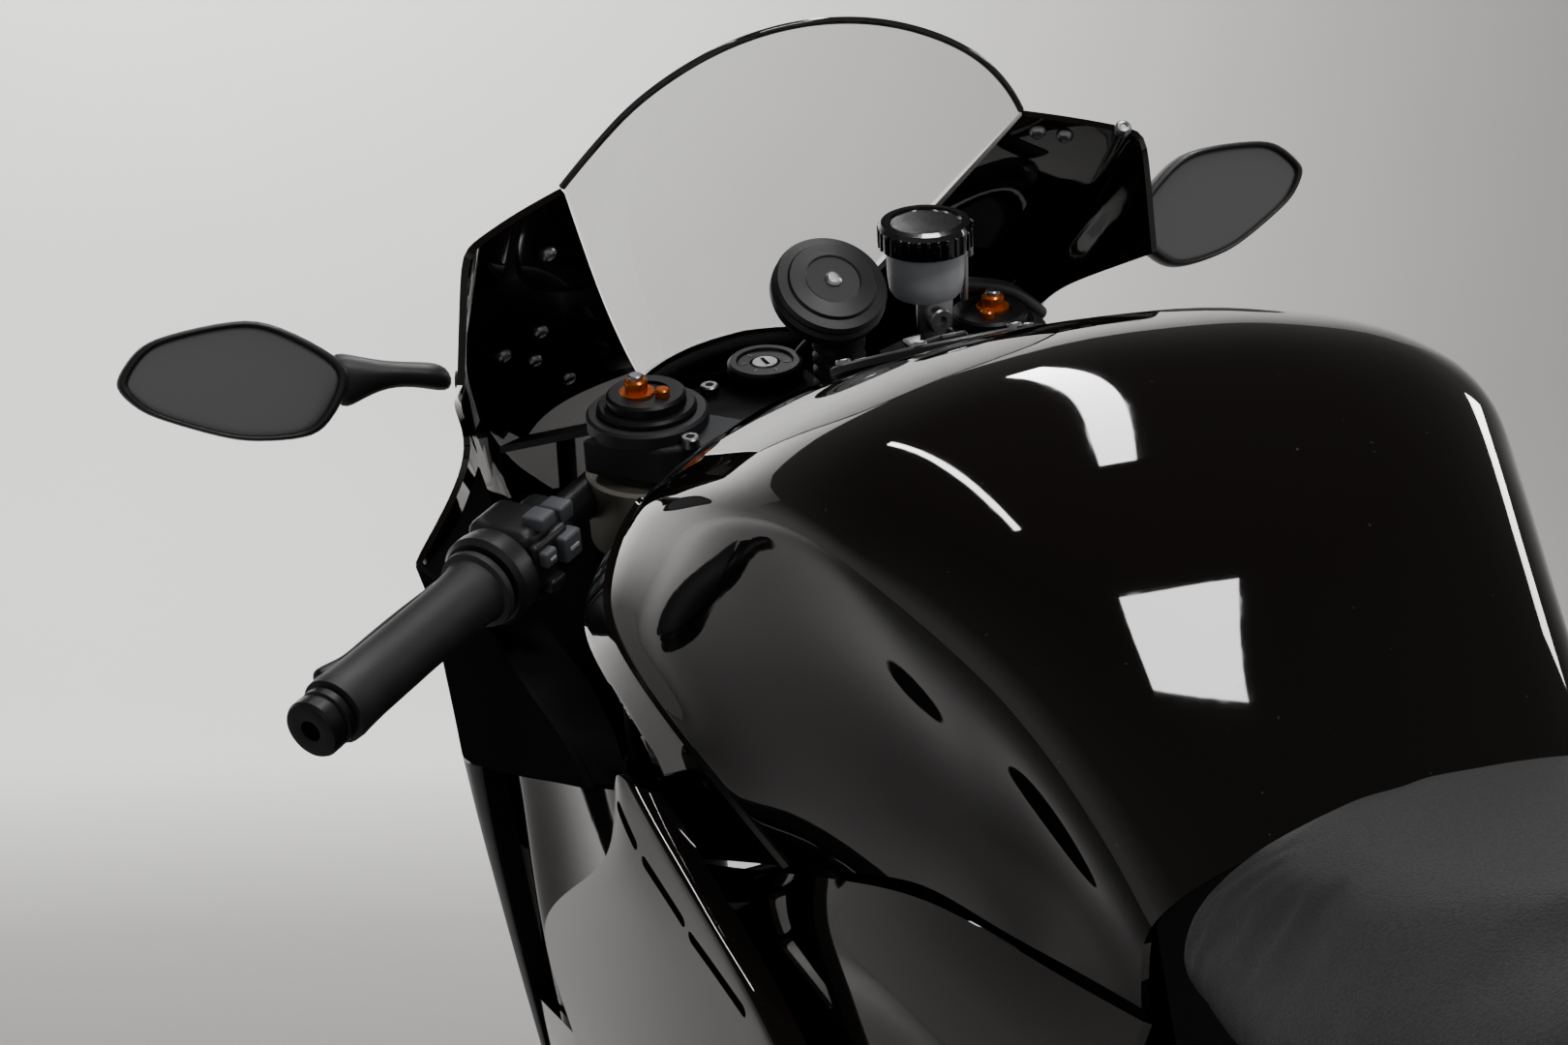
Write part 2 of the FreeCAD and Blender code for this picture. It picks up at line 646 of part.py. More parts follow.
# Rear shock absorber
shock_low, shock_top = Vector(432, 0, 455), Vector(596, 0, 592)
shock_at = lambda share: shock_low + (shock_top - shock_low) * share
shock = fused([rod(shock_low, shock_top, 15), rod(shock_at(0.32), shock_at(0.78), 30)])
doc.recompute()
feature(shock.cut(fused([frame_shape, swingarm.Shape])), "rear_shock")

# Footrests: a hanger plate, a peg and a foot lever on each side
hanger_y = arm_out + 4
hanger = prism([(600, 440), (560, 300), (505, 300), (455, 330), (450, 352), (500, 366), (560, 450)], 0, 8)
hanger.translate(Vector(0, hanger_y, 0))
standoff_y = S["plate_y"] + S["plate_t"] + 0.3
standoffs = [rod((x, standoff_y, z), (x, hanger_y, z), 9) for x, z in ((572, 420), (548, 322))]
peg_spot = Vector(S["peg_x"], hanger_y, S["peg_z"])
peg = rod(peg_spot + Vector(0, 3, 0), peg_spot + Vector(0, 88, 0), 12)
pedal_arm = rod((522, hanger_y + 16, 322), (640, hanger_y + 16, 318), 6)
pedal_toe = rod((634, hanger_y + 12, 318), (634, hanger_y + 58, 318), 7)
pedal = fused([pedal_arm, pedal_toe])
pedal_boss = rod((522, hanger_y + 3, 322), (522, hanger_y + 24, 322), 10)
footrest = fused([hanger, peg, pedal, pedal_boss] + standoffs)
feature(Part.makeCompound([footrest, mirrored(footrest)]), "footrests")

# Rear brake caliper, on a bracket against the right arm
caliper_grip = 24
caliper_reach = S["rear_disc_r"] - caliper_grip
caliper_spot = REAR_AXLE + Vector(math.sin(math.radians(44)), 0, math.cos(math.radians(44))) * caliper_reach
disc_face = S["rear_hub_w"] / 2
outer_face = -disc_face - S["disc_t"]
caliper = box(-30, 30, outer_face - 24, -disc_face + 18, -caliper_grip, caliper_grip + 14)
caliper = caliper.cut(box(-60, 60, outer_face - 5, -disc_face + 5, -60, caliper_grip + 5))
caliper.rotate(Vector(0, 0, 0), Vector(0, 1, 0), 44)
caliper.translate(caliper_spot)
BRACKET = [(-22, -18), (-22, 18), (40, 82), (96, 54), (40, -18)]
bracket_outline = [(x, S["rear_wheel_r"] + up) for x, up in BRACKET]
bracket_plate = prism(bracket_outline, -S["arm_y"] + 0.3, outer_face - 12)
wheel_line = Vector(0, 300, 0)
bracket_plate = bracket_plate.cut(rod(REAR_AXLE - wheel_line, REAR_AXLE + wheel_line, S["axle_r"] + 0.1))
feature(fused([caliper, bracket_plate]), "rear_caliper")

# Steering parts, in the steering frame
F = S["fork_offset"]
fork_top = S["fork_length"]
outer_foot = Vector(F, S["fork_y"], S["fork_outer_u"])
outer_tube = Part.makeCylinder(S["fork_outer_r"], fork_top - S["fork_outer_u"], outer_foot)
inner_bore = Part.makeCylinder(S["fork_inner_r"] + S["fit_gap"], S["fork_lap"] + 1, outer_foot)
outer_tube = outer_tube.cut(inner_bore)
feature(Part.makeCompound([outer_tube, mirrored(outer_tube)]), "fork_outer_tubes", "steer")
inner_height = S["fork_outer_u"] + S["fork_lap"] - 40
inner_tube = Part.makeCylinder(S["fork_inner_r"], inner_height, Vector(F, S["fork_y"], 40))
foot = box(F - 24, F + 24, S["fork_y"] - 20, S["fork_y"] + 20, -26, 60)
lug = box(F - 58, F - 10, S["fork_y"] - 16, S["fork_y"] + 10, 44, 150)
leg = fused([inner_tube, foot, lug])
leg = leg.cut(Part.makeCylinder(S["axle_r"] + 0.1, 300, Vector(F, 0, 0), Vector(0, 1, 0)))
feature(Part.makeCompound([leg, mirrored(leg)]), "fork_legs", "steer")
front_axle = bar(
    "front_axle", Vector(F, -S["fork_y"] - 28, 0), Vector(F, S["fork_y"] + 28, 0), "Sizes.axle_r"
)
keep(front_axle, "front_axle", "steer")


def clamp(label, height, reach):
    """A triple clamp: a plate round both fork tubes and the stem."""
    corners = [
        ("Sizes.fork_offset + 34", "Sizes.fork_y + 8"),
        ("Sizes.fork_offset + 34", "Sizes.fork_y - 22"),
        ("Sizes.fork_offset + 18", "40"),
        ("Sizes.fork_offset + 18", "-40"),
        ("Sizes.fork_offset + 34", "-Sizes.fork_y + 22"),
        ("Sizes.fork_offset + 34", "-Sizes.fork_y - 8"),
        ("Sizes.fork_offset", "-Sizes.fork_y - Sizes.fork_outer_r - 12"),
        ("Sizes.fork_offset - 34", "-Sizes.fork_y - 8"),
        (f"-{reach}", "-34"),
        (f"-{reach}", "34"),
        ("Sizes.fork_offset - 34", "Sizes.fork_y + 8"),
        ("Sizes.fork_offset", "Sizes.fork_y + Sizes.fork_outer_r + 12"),
    ]
    body = padded(label, "XY_Plane", corners, "Sizes.clamp_t", height)
    holes = body.newObject("Sketcher::SketchObject", label + "_bores")
    holes.AttachmentSupport = (plane_of(body, "XY_Plane"), [""])
    holes.MapMode = "FlatFace"
    spots = [("Sizes.fork_offset", "Sizes.fork_y", "Sizes.fork_outer_r + 0.1")]
    spots += [("Sizes.fork_offset", "-Sizes.fork_y", "Sizes.fork_outer_r + 0.1")]
    for x, y, radius in spots:
        read = lambda text: float(holes.evalExpression(text))
        centre = Vector(read(x), read(y), 0)
        geo = holes.addGeometry(Part.Circle(centre, Vector(0, 0, 1), read(radius)), False)
        for kind, value, text in (("DistanceX", centre.x, x), ("DistanceY", centre.y, y)):
            rule = Sketcher.Constraint(kind, -1, 1, geo, 3, value)
            holes.setExpression(f"Constraints[{holes.addConstraint(rule)}]", text)
        rule = Sketcher.Constraint("Radius", geo, read(radius))
        holes.setExpression(f"Constraints[{holes.addConstraint(rule)}]", radius)
    bores = body.newObject("PartDesign::Pocket", label + "_bores_cut")
    bores.Profile = holes
    bores.Type = "ThroughAll"
    bores.Reversed = True
    body.Tip = bores
    return body


upper_clamp = keep(clamp("upper_clamp", "Sizes.upper_clamp_u", "30"), "upper_clamp", "steer")
lower_plate = clamp("lower_clamp_plate", "Sizes.lower_clamp_u", "28")
stem = solid(
    "Cylinder",
    "stem",
    Placement(Vector(0, 0, S["lower_clamp_u"]), Rotation()),
    Radius="Sizes.stem_r",
    Height="Sizes.upper_clamp_u - Sizes.lower_clamp_u - Sizes.fit_gap",
)
keep(join("lower_clamp", [lower_plate, stem]), "lower_clamp", "steer")

# Handlebars: each a ring round the fork tube with a swept bar in front of it
sweep, droop = math.radians(S["bar_sweep"]), math.radians(S["bar_droop"])
BAR_WAY = Vector(-math.sin(sweep) * math.cos(droop), math.cos(sweep) * math.cos(droop), -math.sin(droop))
BAR_START = Vector(F + S["bar_ahead"], S["fork_y"], S["bar_u"])
bar_at = lambda distance: BAR_START + BAR_WAY * distance
ring_low = S["bar_u"] - 30
ring = Part.makeCylinder(S["fork_outer_r"] + 9, 42, Vector(F, S["fork_y"], ring_low))
boss = rod(bar_at(-16), bar_at(14), S["bar_r"] + 6)
clip_on = fused([ring, boss, rod(bar_at(0), bar_at(S["bar_length"]), S["bar_r"])])
clip_on = clip_on.cut(Part.makeCylinder(S["fork_outer_r"] + 0.1, 90, Vector(F, S["fork_y"], ring_low - 20)))
top_limit = S["upper_clamp_u"] - S["fit_gap"]
clip_on = clip_on.cut(box(-200, 200, 0, 200, top_limit, top_limit + 60))
feature(Part.makeCompound([clip_on, mirrored(clip_on)]), "handlebars", "steer")

grip_end = S["bar_length"] - 1
grip_start = grip_end - S["grip_length"]
flange = rod(bar_at(grip_start), bar_at(grip_start + 5), 21)
sleeve = fused([rod(bar_at(grip_start), bar_at(grip_end), S["grip_r"]), flange])
sleeve = sleeve.cut(rod(bar_at(grip_start - 5), bar_at(grip_end + 5), S["bar_r"] + 0.1))
feature(Part.makeCompound([sleeve, mirrored(sleeve)]), "grips", "steer")
weight = rod(bar_at(S["bar_length"] + 0.2), bar_at(S["bar_length"] + S["bar_end_t"]), 15)
feature(Part.makeCompound([weight, mirrored(weight)]), "bar_ends", "steer")

pod_end = grip_start - 1
pod_shell = rod(bar_at(pod_end - 42), bar_at(pod_end), 24)
pod = fused([pod_shell, rod(bar_at(pod_end - 30), bar_at(pod_end - 2), 28)])
pod = pod.cut(rod(bar_at(pod_end - 80), bar_at(pod_end + 40), S["bar_r"] + 0.1))
feature(Part.makeCompound([pod, mirrored(pod)]), "switch_pods", "steer")

# Levers: a perch round the bar inboard of the pod, and a blade ahead of the grip
LEVEL_AHEAD = Vector(0, 0, 1).cross(BAR_WAY).normalize() * -1
AHEAD = Rotation(BAR_WAY, S["lever_tilt"]).multVec(LEVEL_AHEAD)
perch_end = pod_end - 44
perch = rod(bar_at(perch_end - 18), bar_at(perch_end), 18)
pivot_spot = bar_at(perch_end - 6) + AHEAD * 40
arm = rod(bar_at(perch_end - 9) + AHEAD * 12, pivot_spot, 9)
lever_at = lambda distance, extra: bar_at(distance) + AHEAD * (S["lever_reach"] + extra)
lever_tip = lever_at(grip_end - 6, 4)
blade = tube_along([pivot_spot, lever_at(perch_end + 50, 0), lever_at(grip_start + 60, -2), lever_tip], 6)
lever = fused([perch, arm, blade, Part.makeSphere(9, lever_tip)])
lever = lever.cut(rod(bar_at(perch_end - 60), bar_at(perch_end + 40), S["bar_r"] + 0.1))
feature(Part.makeCompound([lever, mirrored(lever)]), "hand_levers", "steer")

# Brake fluid reservoir: a cup with a ribbed cap, on a bracket from the upper clamp
clamp_top = S["upper_clamp_u"] + S["clamp_t"]
cup_spot = Vector(F + 4, -62, clamp_top + 34)
cup = fused([Part.makeCylinder(19, 30, cup_spot), Part.makeCylinder(24, 14, cup_spot + Vector(0, 0, 30))])
feature(cup, "brake_reservoir", "steer")
bracket = fused(
    [
        box(cup_spot.x - 10, cup_spot.x + 10, cup_spot.y - 16, cup_spot.y + 10, clamp_top, clamp_top + 4),
        box(cup_spot.x - 10, cup_spot.x + 10, cup_spot.y - 2, cup_spot.y + 2, clamp_top, cup_spot.z - 0.3),
    ]
)
feature(bracket, "reservoir_bracket", "steer")
puck_foot = Vector(8, 0, clamp_top + 0.3)
puck_spot = puck_foot + Vector(-4, 0, 58)
puck_way = Vector(-math.sin(math.radians(S["puck_tilt"])), 0, math.cos(math.radians(S["puck_tilt"])))
puck_base = rod(puck_spot - puck_way * 14, puck_spot, 29)
puck_face = rod(puck_spot - puck_way, puck_spot + puck_way * 8, 24)
puck_neck = rod(puck_foot, puck_foot + Vector(0, 0, 50), 12)
feature(fused([puck_neck, puck_base, puck_face]), "stem_mount", "steer")
ignition = Part.makeCylinder(21, 12, Vector(F + 22, 20, clamp_top + 0.3))
feature(ignition, "ignition_lock", "steer")

# Front mudguard: an arc round the tyre, on tabs to the fork legs
guard_r = "Sizes.front_wheel_r - Sizes.front_tyre_w/2"
guard_in = "Sizes.front_tyre_w/2 + Sizes.guard_gap"
guard_out = guard_in + " + Sizes.panel_t"
guard = doc.addObject("PartDesign::Body", "guard_shell")
guard_profile = outline(
    guard,
    "YZ_Plane",
    "guard_profile",
    [
        (guard_out, f"{guard_r} - 20"),
        (guard_out, guard_r, guard_out + " + 0.02"),
        (f"-({guard_out})", guard_r),
        (f"-({guard_out})", f"{guard_r} - 20"),
        (f"-({guard_in})", f"{guard_r} - 20"),
        (f"-({guard_in})", guard_r, f"-({guard_in} + 0.02)"),
        (guard_in, guard_r),
        (guard_in, f"{guard_r} - 20"),
    ],
)
guard_turn = guard.newObject("PartDesign::Revolution", "guard_turn")
guard_turn.Profile = guard_profile
guard_turn.ReferenceAxis = (guard_profile, ["H_Axis"])
guard_turn.Angle = 125
guard.Tip = guard_turn
guard.Placement = Placement(AXLE_SPOT, Rotation(Vector(0, 1, 0), -72))
guard_side = S["front_tyre_w"] / 2 + S["guard_gap"] + S["panel_t"]
tab_u = S["front_wheel_r"] - S["front_tyre_w"] / 2 - 14
tabs = []
for side in (1, -1):
    tab = solid("Box", "guard_tab_left" if side > 0 else "guard_tab_right")
    tab.Length, tab.Height = 34, 30
    tab.Width = S["fork_y"] - S["fork_inner_r"] - 0.3 - guard_side + 1
    low_y = guard_side - 1 if side > 0 else -(guard_side - 1) - float(tab.Width)
    tab.Placement = Placement(Vector(F - 17, low_y, tab_u - 4), Rotation())
    tabs.append(tab)
keep(join("front_fender", [guard] + tabs), "front_fender", "steer")

# Front brake calipers, behind the fork legs, astride the discs
disc_in, disc_out = S["front_hub_w"] / 2, S["front_hub_w"] / 2 + S["disc_t"]
half = box(-52, 52, disc_in - 20, disc_out + 20, -26, 42)
half = half.cut(box(-80, 80, disc_in - 5, disc_out + 5, -60, 31))
half.rotate(Vector(0, 0, 0), Vector(0, 1, 0), -90 + 38)
reach = S["disc_r"] - 26
half.translate(Vector(F - reach * math.sin(math.radians(52)), 0, reach * math.cos(math.radians(52))))
half = half.cut(box(F - 58.3, F + 60, S["fork_y"] - 16.3, S["fork_y"] + 20, 0, 400))
half = half.cut(Part.makeCylinder(S["fork_inner_r"] + 5, 500, Vector(F, S["fork_y"], 0)))
feature(Part.makeCompound([half, mirrored(half)]), "front_calipers", "steer")

# Fuel tank: rings from its front edge to the seat, each the left half from the crown to the underside
TANK = [
    # x, (y, z) of crown, crease, shoulder, edge, waist, lower edge, underside
    (992, [(0, 966), (58, 961), (98, 948), (122, 930), (126, 900), (108, TANK_FLOOR), (0, TANK_FLOOR)]),
    (955, [(0, 971), (60, 966), (112, 950), (162, 928), (194, 893), (172, TANK_FLOOR), (0, TANK_FLOOR)]),
    (900, [(0, 976), (64, 971), (122, 959), (170, 938), (190, 880), (174, 814), (0, 814)]),
    (815, [(0, 983), (66, 977), (128, 965), (167, 942), (164, 876), (148, 784), (0, 784)]),
    (720, [(0, 970), (64, 964), (120, 953), (152, 927), (134, 860), (124, FLOOR), (0, FLOOR)]),
    (680, [(0, 944), (60, 939), (108, 928), (139, 902), (122, 842), (118, FLOOR), (0, FLOOR)]),
    (640, [(0, 903), (55, 898), (94, 888), (117, 866), (110, 820), (110, 774), (0, 774)]),
    (582, [(0, 806), (46, 803), (76, 797), (94, 788), (98, 780), (98, 768), (0, 768)]),
]
tank_shape = loft([hull_ring(x, half) for x, half in TANK])
CAP_TOP = Vector(S["cap_x"], 0, 972)
CAP_TILT = Rotation(Vector(0, 1, 0), 4.5)
cap_place = Placement(CAP_TOP, CAP_TILT)


def about_cap(radius, low, high):
    """A round solid on the cap's axis, between two heights from the cap's top face."""
    cylinder = Part.makeCylinder(radius, high - low, Vector(0, 0, low))
    cylinder.Placement = cap_place
    return cylinder


recess_floor = -S["cap_t"] - S["lid_gap"]
tank_shape = tank_shape.cut(about_cap(S["cap_r"] + S["lid_gap"], recess_floor, 60))
tank_shape = tank_shape.cut(about_cap(S["neck_r"], recess_floor - S["neck_depth"], 0))
feature(tank_shape, "fuel_tank")

# Fuel cap: a lid hinged at its front edge
HINGE = cap_place.multVec(Vector(S["cap_r"] + 6, 0, 2))
lid = about_cap(S["cap_r"], -S["cap_t"], 0)
lid_arm = box(S["cap_r"] - 14, S["cap_r"] + 6, -9, 9, -1, 4)
lid_arm.Placement = cap_place
feature(fused([lid, lid_arm]), "fuel_cap")

# Seats and tail: rings from front to back
SEAT = [
    (578, [(0, 801), (48, 798), (84, 786), (98, 772), (94, 756), (0, 756)]),
    (520, [(0, 822), (70, 818), (112, 800), (124, 778), (116, 756), (0, 756)]),
    (430, [(0, 832), (90, 828), (138, 808), (150, 784), (140, 756.6), (0, 756.6)]),
    (330, [(0, 850), (85, 846), (128, 828), (140, 802), (130, 768), (0, 768)]),
    (290, [(0, 878), (60, 874), (96, 860), (106, 838), (98, 772.6), (0, 772.6)]),
]
PILLION = [
    (252, [(0, 905), (60, 900), (84, 886), (90, 872), (86, 853.2), (0, 853.2)]),
    (175, [(0, 925), (60, 921), (80, 908), (86, 890), (82, 869.7), (0, 869.7)]),
    (98, [(0, 950), (48, 946), (62, 934), (68, 915), (64, 886.3), (0, 886.3)]),
]
TAIL = [
    (430, [(0, 756), (120, 752), (138, 724), (118, 706), (0, 706)]),
    (288, [(0, 772), (116, 768), (130, 744), (108, 716), (0, 716)]),
    (254, [(0, 852), (96, 848), (114, 816), (88, 772), (0, 772)]),
    (90, [(0, 887), (76, 883), (92, 852), (70, 822), (0, 822)]),
    (20, [(0, 958), (55, 952), (72, 917), (50, 880), (0, 880)]),
    (-92, [(0, 985), (30, 981), (42, 964), (28, 946), (0, 946)]),
]
feature(loft([hull_ring(x, half) for x, half in SEAT]), "rider_seat")
feature(loft([hull_ring(x, half) for x, half in PILLION]), "pillion_seat")
tail_shape = loft([hull_ring(x, half) for x, half in TAIL])
feature(tail_shape, "tail_cowl")
LAMP = [
    (-92.3, [(0, 980), (26, 976), (36, 964), (24, 950), (0, 950)]),
    (-104, [(0, 974), (20, 971), (27, 963), (18, 955), (0, 955)]),
]
feature(loft([hull_ring(x, half) for x, half in LAMP]), "tail_lamp")
HOLDER_ARM = [(20, 878), (-20, 880), (-150, 740), (-204, 640), (-186, 640), (-128, 730)]
HOLDER_PLATE = [(-178, 700), (-222, 562), (-225, 563), (-181, 701)]
feature(fused([prism(HOLDER_ARM, -14, 14), prism(HOLDER_PLATE, -80, 80)]), "plate_holder")

# Bodywork shells: stations of outer points from top to bottom, mirrored to the right side
COWL = [
    # x, (y, z) of screen edge, wing top, wing corner, wing side, waist, shoulder, side, lower lip
    (925, [(160, 1100), (197, 1078), (208, 1048), (210, 1010), (204, 960), (208, 865), (211, 838), (208, 808)]),
    (1060, [(138, 1088), (190, 1064), (203, 1034), (206, 1000), (200, 955), (222, 869), (225, 838), (221, 796)]),
    (1130, [(117, 1058), (177, 1041), (195, 1017), (199, 990), (192, 951), (228, 869), (232, 838), (228, 793)]),
    (1186, [(101, 1035), (166, 1022), (189, 1003), (194, 981), (185, 948), (233, 886), (236, 845), (228, 788)]),
    (1230, [(88, 1016), (158, 1008), (184, 992), (190, 975), (180, 946), (230, 893), (224, 845), (217, 788)]),
    (1330, [(50, 965), (120, 958), (150, 935), (160, 912), (165, 893), (192, 868), (190, 832), (180, 790)]),
    (1425, [(6, 922), (52, 918), (80, 900), (92, 885), (100, 872), (122, 855), (120, 828), (110, 798)]),
    (1485, [(4, 884), (20, 880), (32, 874), (38, 868), (42, 862), (50, 852), (48, 838), (42, 822)]),
]
# The cowl's rear edge, seen from the side: the wing, the notch that the levers swing through, and the skirt,
# which stays under the grips' sweep
COWL_EDGE = [(840, 1130), (1069, 1130), (1069, 1062), (1072, 1046), (1110, 1004), (1226, 981), (1244, 950)]
COWL_EDGE += [(1244, 906), (1186, 886), (1130, 869), (1100, 865), (1040, 836), (980, 826), (930, 800)]
COWL_EDGE += [(840, 800)]
cowl_stations = [(x, 0, 0, points) for x, points in COWL]
cowl_half = panel(cowl_stations, S["panel_t"]).cut(prism(COWL_EDGE, -400, 400))
cowl_half = max(cowl_half.Solids, key=lambda piece: piece.Volume)
nose_ring = lambda x, top: [Vector(x, y, z) for y, z in ((-9, top), (9, top), (9, top - 9), (-9, top - 9))]
cowl_shape = fused([cowl_half, mirrored(cowl_half), loft([nose_ring(1426, 922), nose_ring(1484, 885)])])
feature(cowl_shape, "upper_cowl")

SCREEN = [
    (1060, -0.2, 1088, [(0, 1150), (54, 1143), (94, 1126), (124, 1104), (137.5, 1088.8)]),
    (1230, 0, 0, [(0, 1068), (34, 1065), (60, 1053), (80, 1034), (87.5, 1016.8)]),
    (1330, 0, 0, [(0, 1003), (20, 1001), (35, 992), (45, 979), (49.5, 965.8)]),
    (1422, 0, 0, [(0, 938), (8, 937), (13, 934), (15, 931), (16, 928)]),
]
whole_screen = []
for x, slope, datum, half in SCREEN:
    points = [(-y, z) for y, z in half[:0:-1]] + half
    whole_screen.append((x, slope, datum, points))
feature(panel(whole_screen, S["screen_t"]), "windscreen")

SIDE = [
    # x, (y, z) from the cowl down to the belly pan
    (664, [(199, 822), (193, 770), (184, 700), (179, 640), (177, 560), (176, 480), (175, 400)]),
    (800, [(203, 822), (197, 770), (194, 700), (193, 640), (195, 560), (192, 480), (181, 400)]),
    (900, [(210, 822), (209, 770), (205, 700), (202, 640), (206, 560), (205, 480), (186, 400)]),
    (1000, [(213, 822), (213, 770), (211, 700), (209, 640), (214, 560), (212, 480), (191, 400)]),
    (1090, [(217, 822), (218, 770), (217, 700), (213, 640), (217, 560), (212, 480), (193, 400)]),
    (1194, [(225, 822), (225, 770), (221, 700), (214, 640), (211, 560), (205, 480), (190, 400)]),
    (1255, [(217, 822), (215, 770), (212, 700), (207, 640), (199, 560), (190, 480), (180, 400)]),
    (1334, [(170, 822), (172, 770), (178, 700), (174, 640), (168, 560), (165, 480), (160, 400)]),
]
# The panel's outline from the side: the tip beside the tank, the edge down to the belly, and the air opening
SIDE_EDGE = [(880, 819), (845, 795), (815, 770), (775, 740), (735, 690), (702, 640), (688, 560)]
SIDE_EDGE += [(684, 480), (690, 400), (1150, 400), (1225, 505), (1300, 612), (1326, 700), (1328, 778)]
SIDE_EDGE += [(1190, 782), (1194, 740), (1198, 640), (1090, 645), (1106, 680), (1102, 708)]
SIDE_EDGE += [(1000, 745), (925, 760), (903, 776), (888, 811)]
# The skin inside the opening, with its rib
SKIN = [
    # x, (y, z) from the cowl down to where it joins the panel
    (888, [(196, 806), (193, 770), (191, 730), (192, 700)]),
    (960, [(188, 806), (185, 765), (186, 700), (206, 628)]),
    (1050, [(186, 800), (183, 760), (186, 690), (210, 628)]),
    (1120, [(192, 798), (189, 758), (192, 690), (211, 628)]),
    (1150, [(208, 786), (209, 756), (209, 690), (211, 628)]),
    (1176, [(198, 786), (196, 754), (197, 690), (211, 628)]),
    (1206, [(204, 786), (204, 752), (204, 690), (211, 628)]),
]
side_panel = panel([(x, 0, 0, points) for x, points in SIDE], S["panel_t"]).common(prism(SIDE_EDGE, 0, 400))
skin = panel([(x, 0, 0, points) for x, points in SKIN], 3)
skin_posts = [rod((1200.5, 202, z), (1200.5, 220, z), 3) for z in (700, 760)]
side_fairing = fused([side_panel, skin] + skin_posts)
FAIRING_LUG = Vector(960, 0, 735)
side_fairing = side_fairing.cut(rod(FAIRING_LUG + Vector(0, 150, 0), FAIRING_LUG + Vector(0, 203, 0), 7.3))
side_fairing = max(side_fairing.Solids, key=lambda piece: piece.Volume)
feature(Part.makeCompound([side_fairing, mirrored(side_fairing)]), "side_fairings")

BELLY = [
    (712, [(176, 380), (174, 290), (125, 176), (40, 156)]),
    (900, [(182.7, 399.4), (188, 262), (135, 156), (40, 142)]),
    (1050, [(192.6, 399.4), (186, 280), (125, 190), (40, 176)]),
]
belly = []
for x, half in BELLY:
    belly.append((x, 0, 0, half + [(-y, z) for y, z in half[::-1]]))
feature(panel(belly, S["panel_t"]), "belly_pan")

COVER = [
    # x, (y, z) of the joint under the tank, the bulge, the lower edge
    (905, [(181, 768), (182.5, 764), (184, 760)]),
    (858, [(167, 771), (177, 757), (183, 742)]),
    (813, [(156, 774), (172, 745), (178, 716)]),
    (760, [(146, 779), (163, 740), (171, 682)]),
    (705, [(131, 780), (157, 730), (165, 645)]),
    (640, [(115, 762), (146, 705), (156, 634)]),
    (590, [(104, 753), (132, 700), (142, 640)]),
]
cover = panel([(x, 0, 0, points) for x, points in COVER[::-1]], S["panel_t"])
feature(Part.makeCompound([cover, mirrored(cover)]), "side_covers")

# Lugs from the spars out to the side panels
LUGS = [(FAIRING_LUG.x, 100, FAIRING_LUG.z, 232, side_fairing), (780, 118, 712, 182, cover)]
frame_lugs = []
for x, y_in, z, y_out, target in LUGS:
    lug = rod((x, y_in, z), (x, y_out, z), 7).cut(target)
    frame_lugs.append(min(lug.Solids, key=lambda piece: piece.CenterOfMass.y))
frame_shape = fused([frame_shape] + frame_lugs + [mirrored(lug) for lug in frame_lugs])
feature(frame_shape, "main_frame")

# Cockpit: the instrument, the plate round it, and the stay that carries them and the cowl
DISPLAY_PLACE = Placement(Vector(1262, 0, 932), Rotation(Vector(0, 1, 0), 38))


def display_box(gap):
    block = box(-11 - gap, 11 + gap, -82 - gap, 82 + gap, -42 - gap, 42 + gap)
    block.Placement = DISPLAY_PLACE
    return block


display = display_box(0)
feature(display, "instrument_display")
DASH = [(1250, 162), (1320, 133), (1320, -133), (1250, -162)]
dash = Part.Face(Part.makePolygon([Vector(x, y, 946) for x, y in DASH + DASH[:1]])).extrude(Vector(0, 0, 4))
dash = dash.cut(display_box(0.4))
STAY = [((1150, 0, 850), (1292, 0, 904), 11), ((1284, 0, 905), (1333, 0, 905), 9)]
STAY += [((1330, -190, 905), (1330, 190, 905), 8)]
STAY += [((1330, y, 905), (1306, y, 947), 6) for y in (-110, 110)]
stay = fused([rod(*row) for row in STAY]).cut(fused([display, dash, frame_shape, cowl_shape]))
stay = max(stay.Solids, key=lambda piece: piece.Volume)
feature(dash, "cockpit_panel")
feature(stay, "fairing_stay")
headlamp = rod((1330, 120, 838), (1385, 118, 838), 28).cut(cowl_shape)
headlamp = max(headlamp.Solids, key=lambda piece: piece.Volume)
feature(Part.makeCompound([headlamp, mirrored(headlamp)]), "headlamps")

# Mirrors: a housing, its glass and a stalk from the cowl
MIRROR_X = 1205
MIRROR = [(373, 1026), (352, 1048), (287, 1051), (237, 1011), (266, 976), (311, 982), (359, 1007)]
centre_y = sum(y for y, _ in MIRROR) / len(MIRROR)
centre_z = sum(z for _, z in MIRROR) / len(MIRROR)


def mirror_ring(x, scale):
    grown = lambda value, centre: centre + (value - centre) * scale
    return [Vector(x, grown(y, centre_y), grown(z, centre_z)) for y, z in MIRROR]


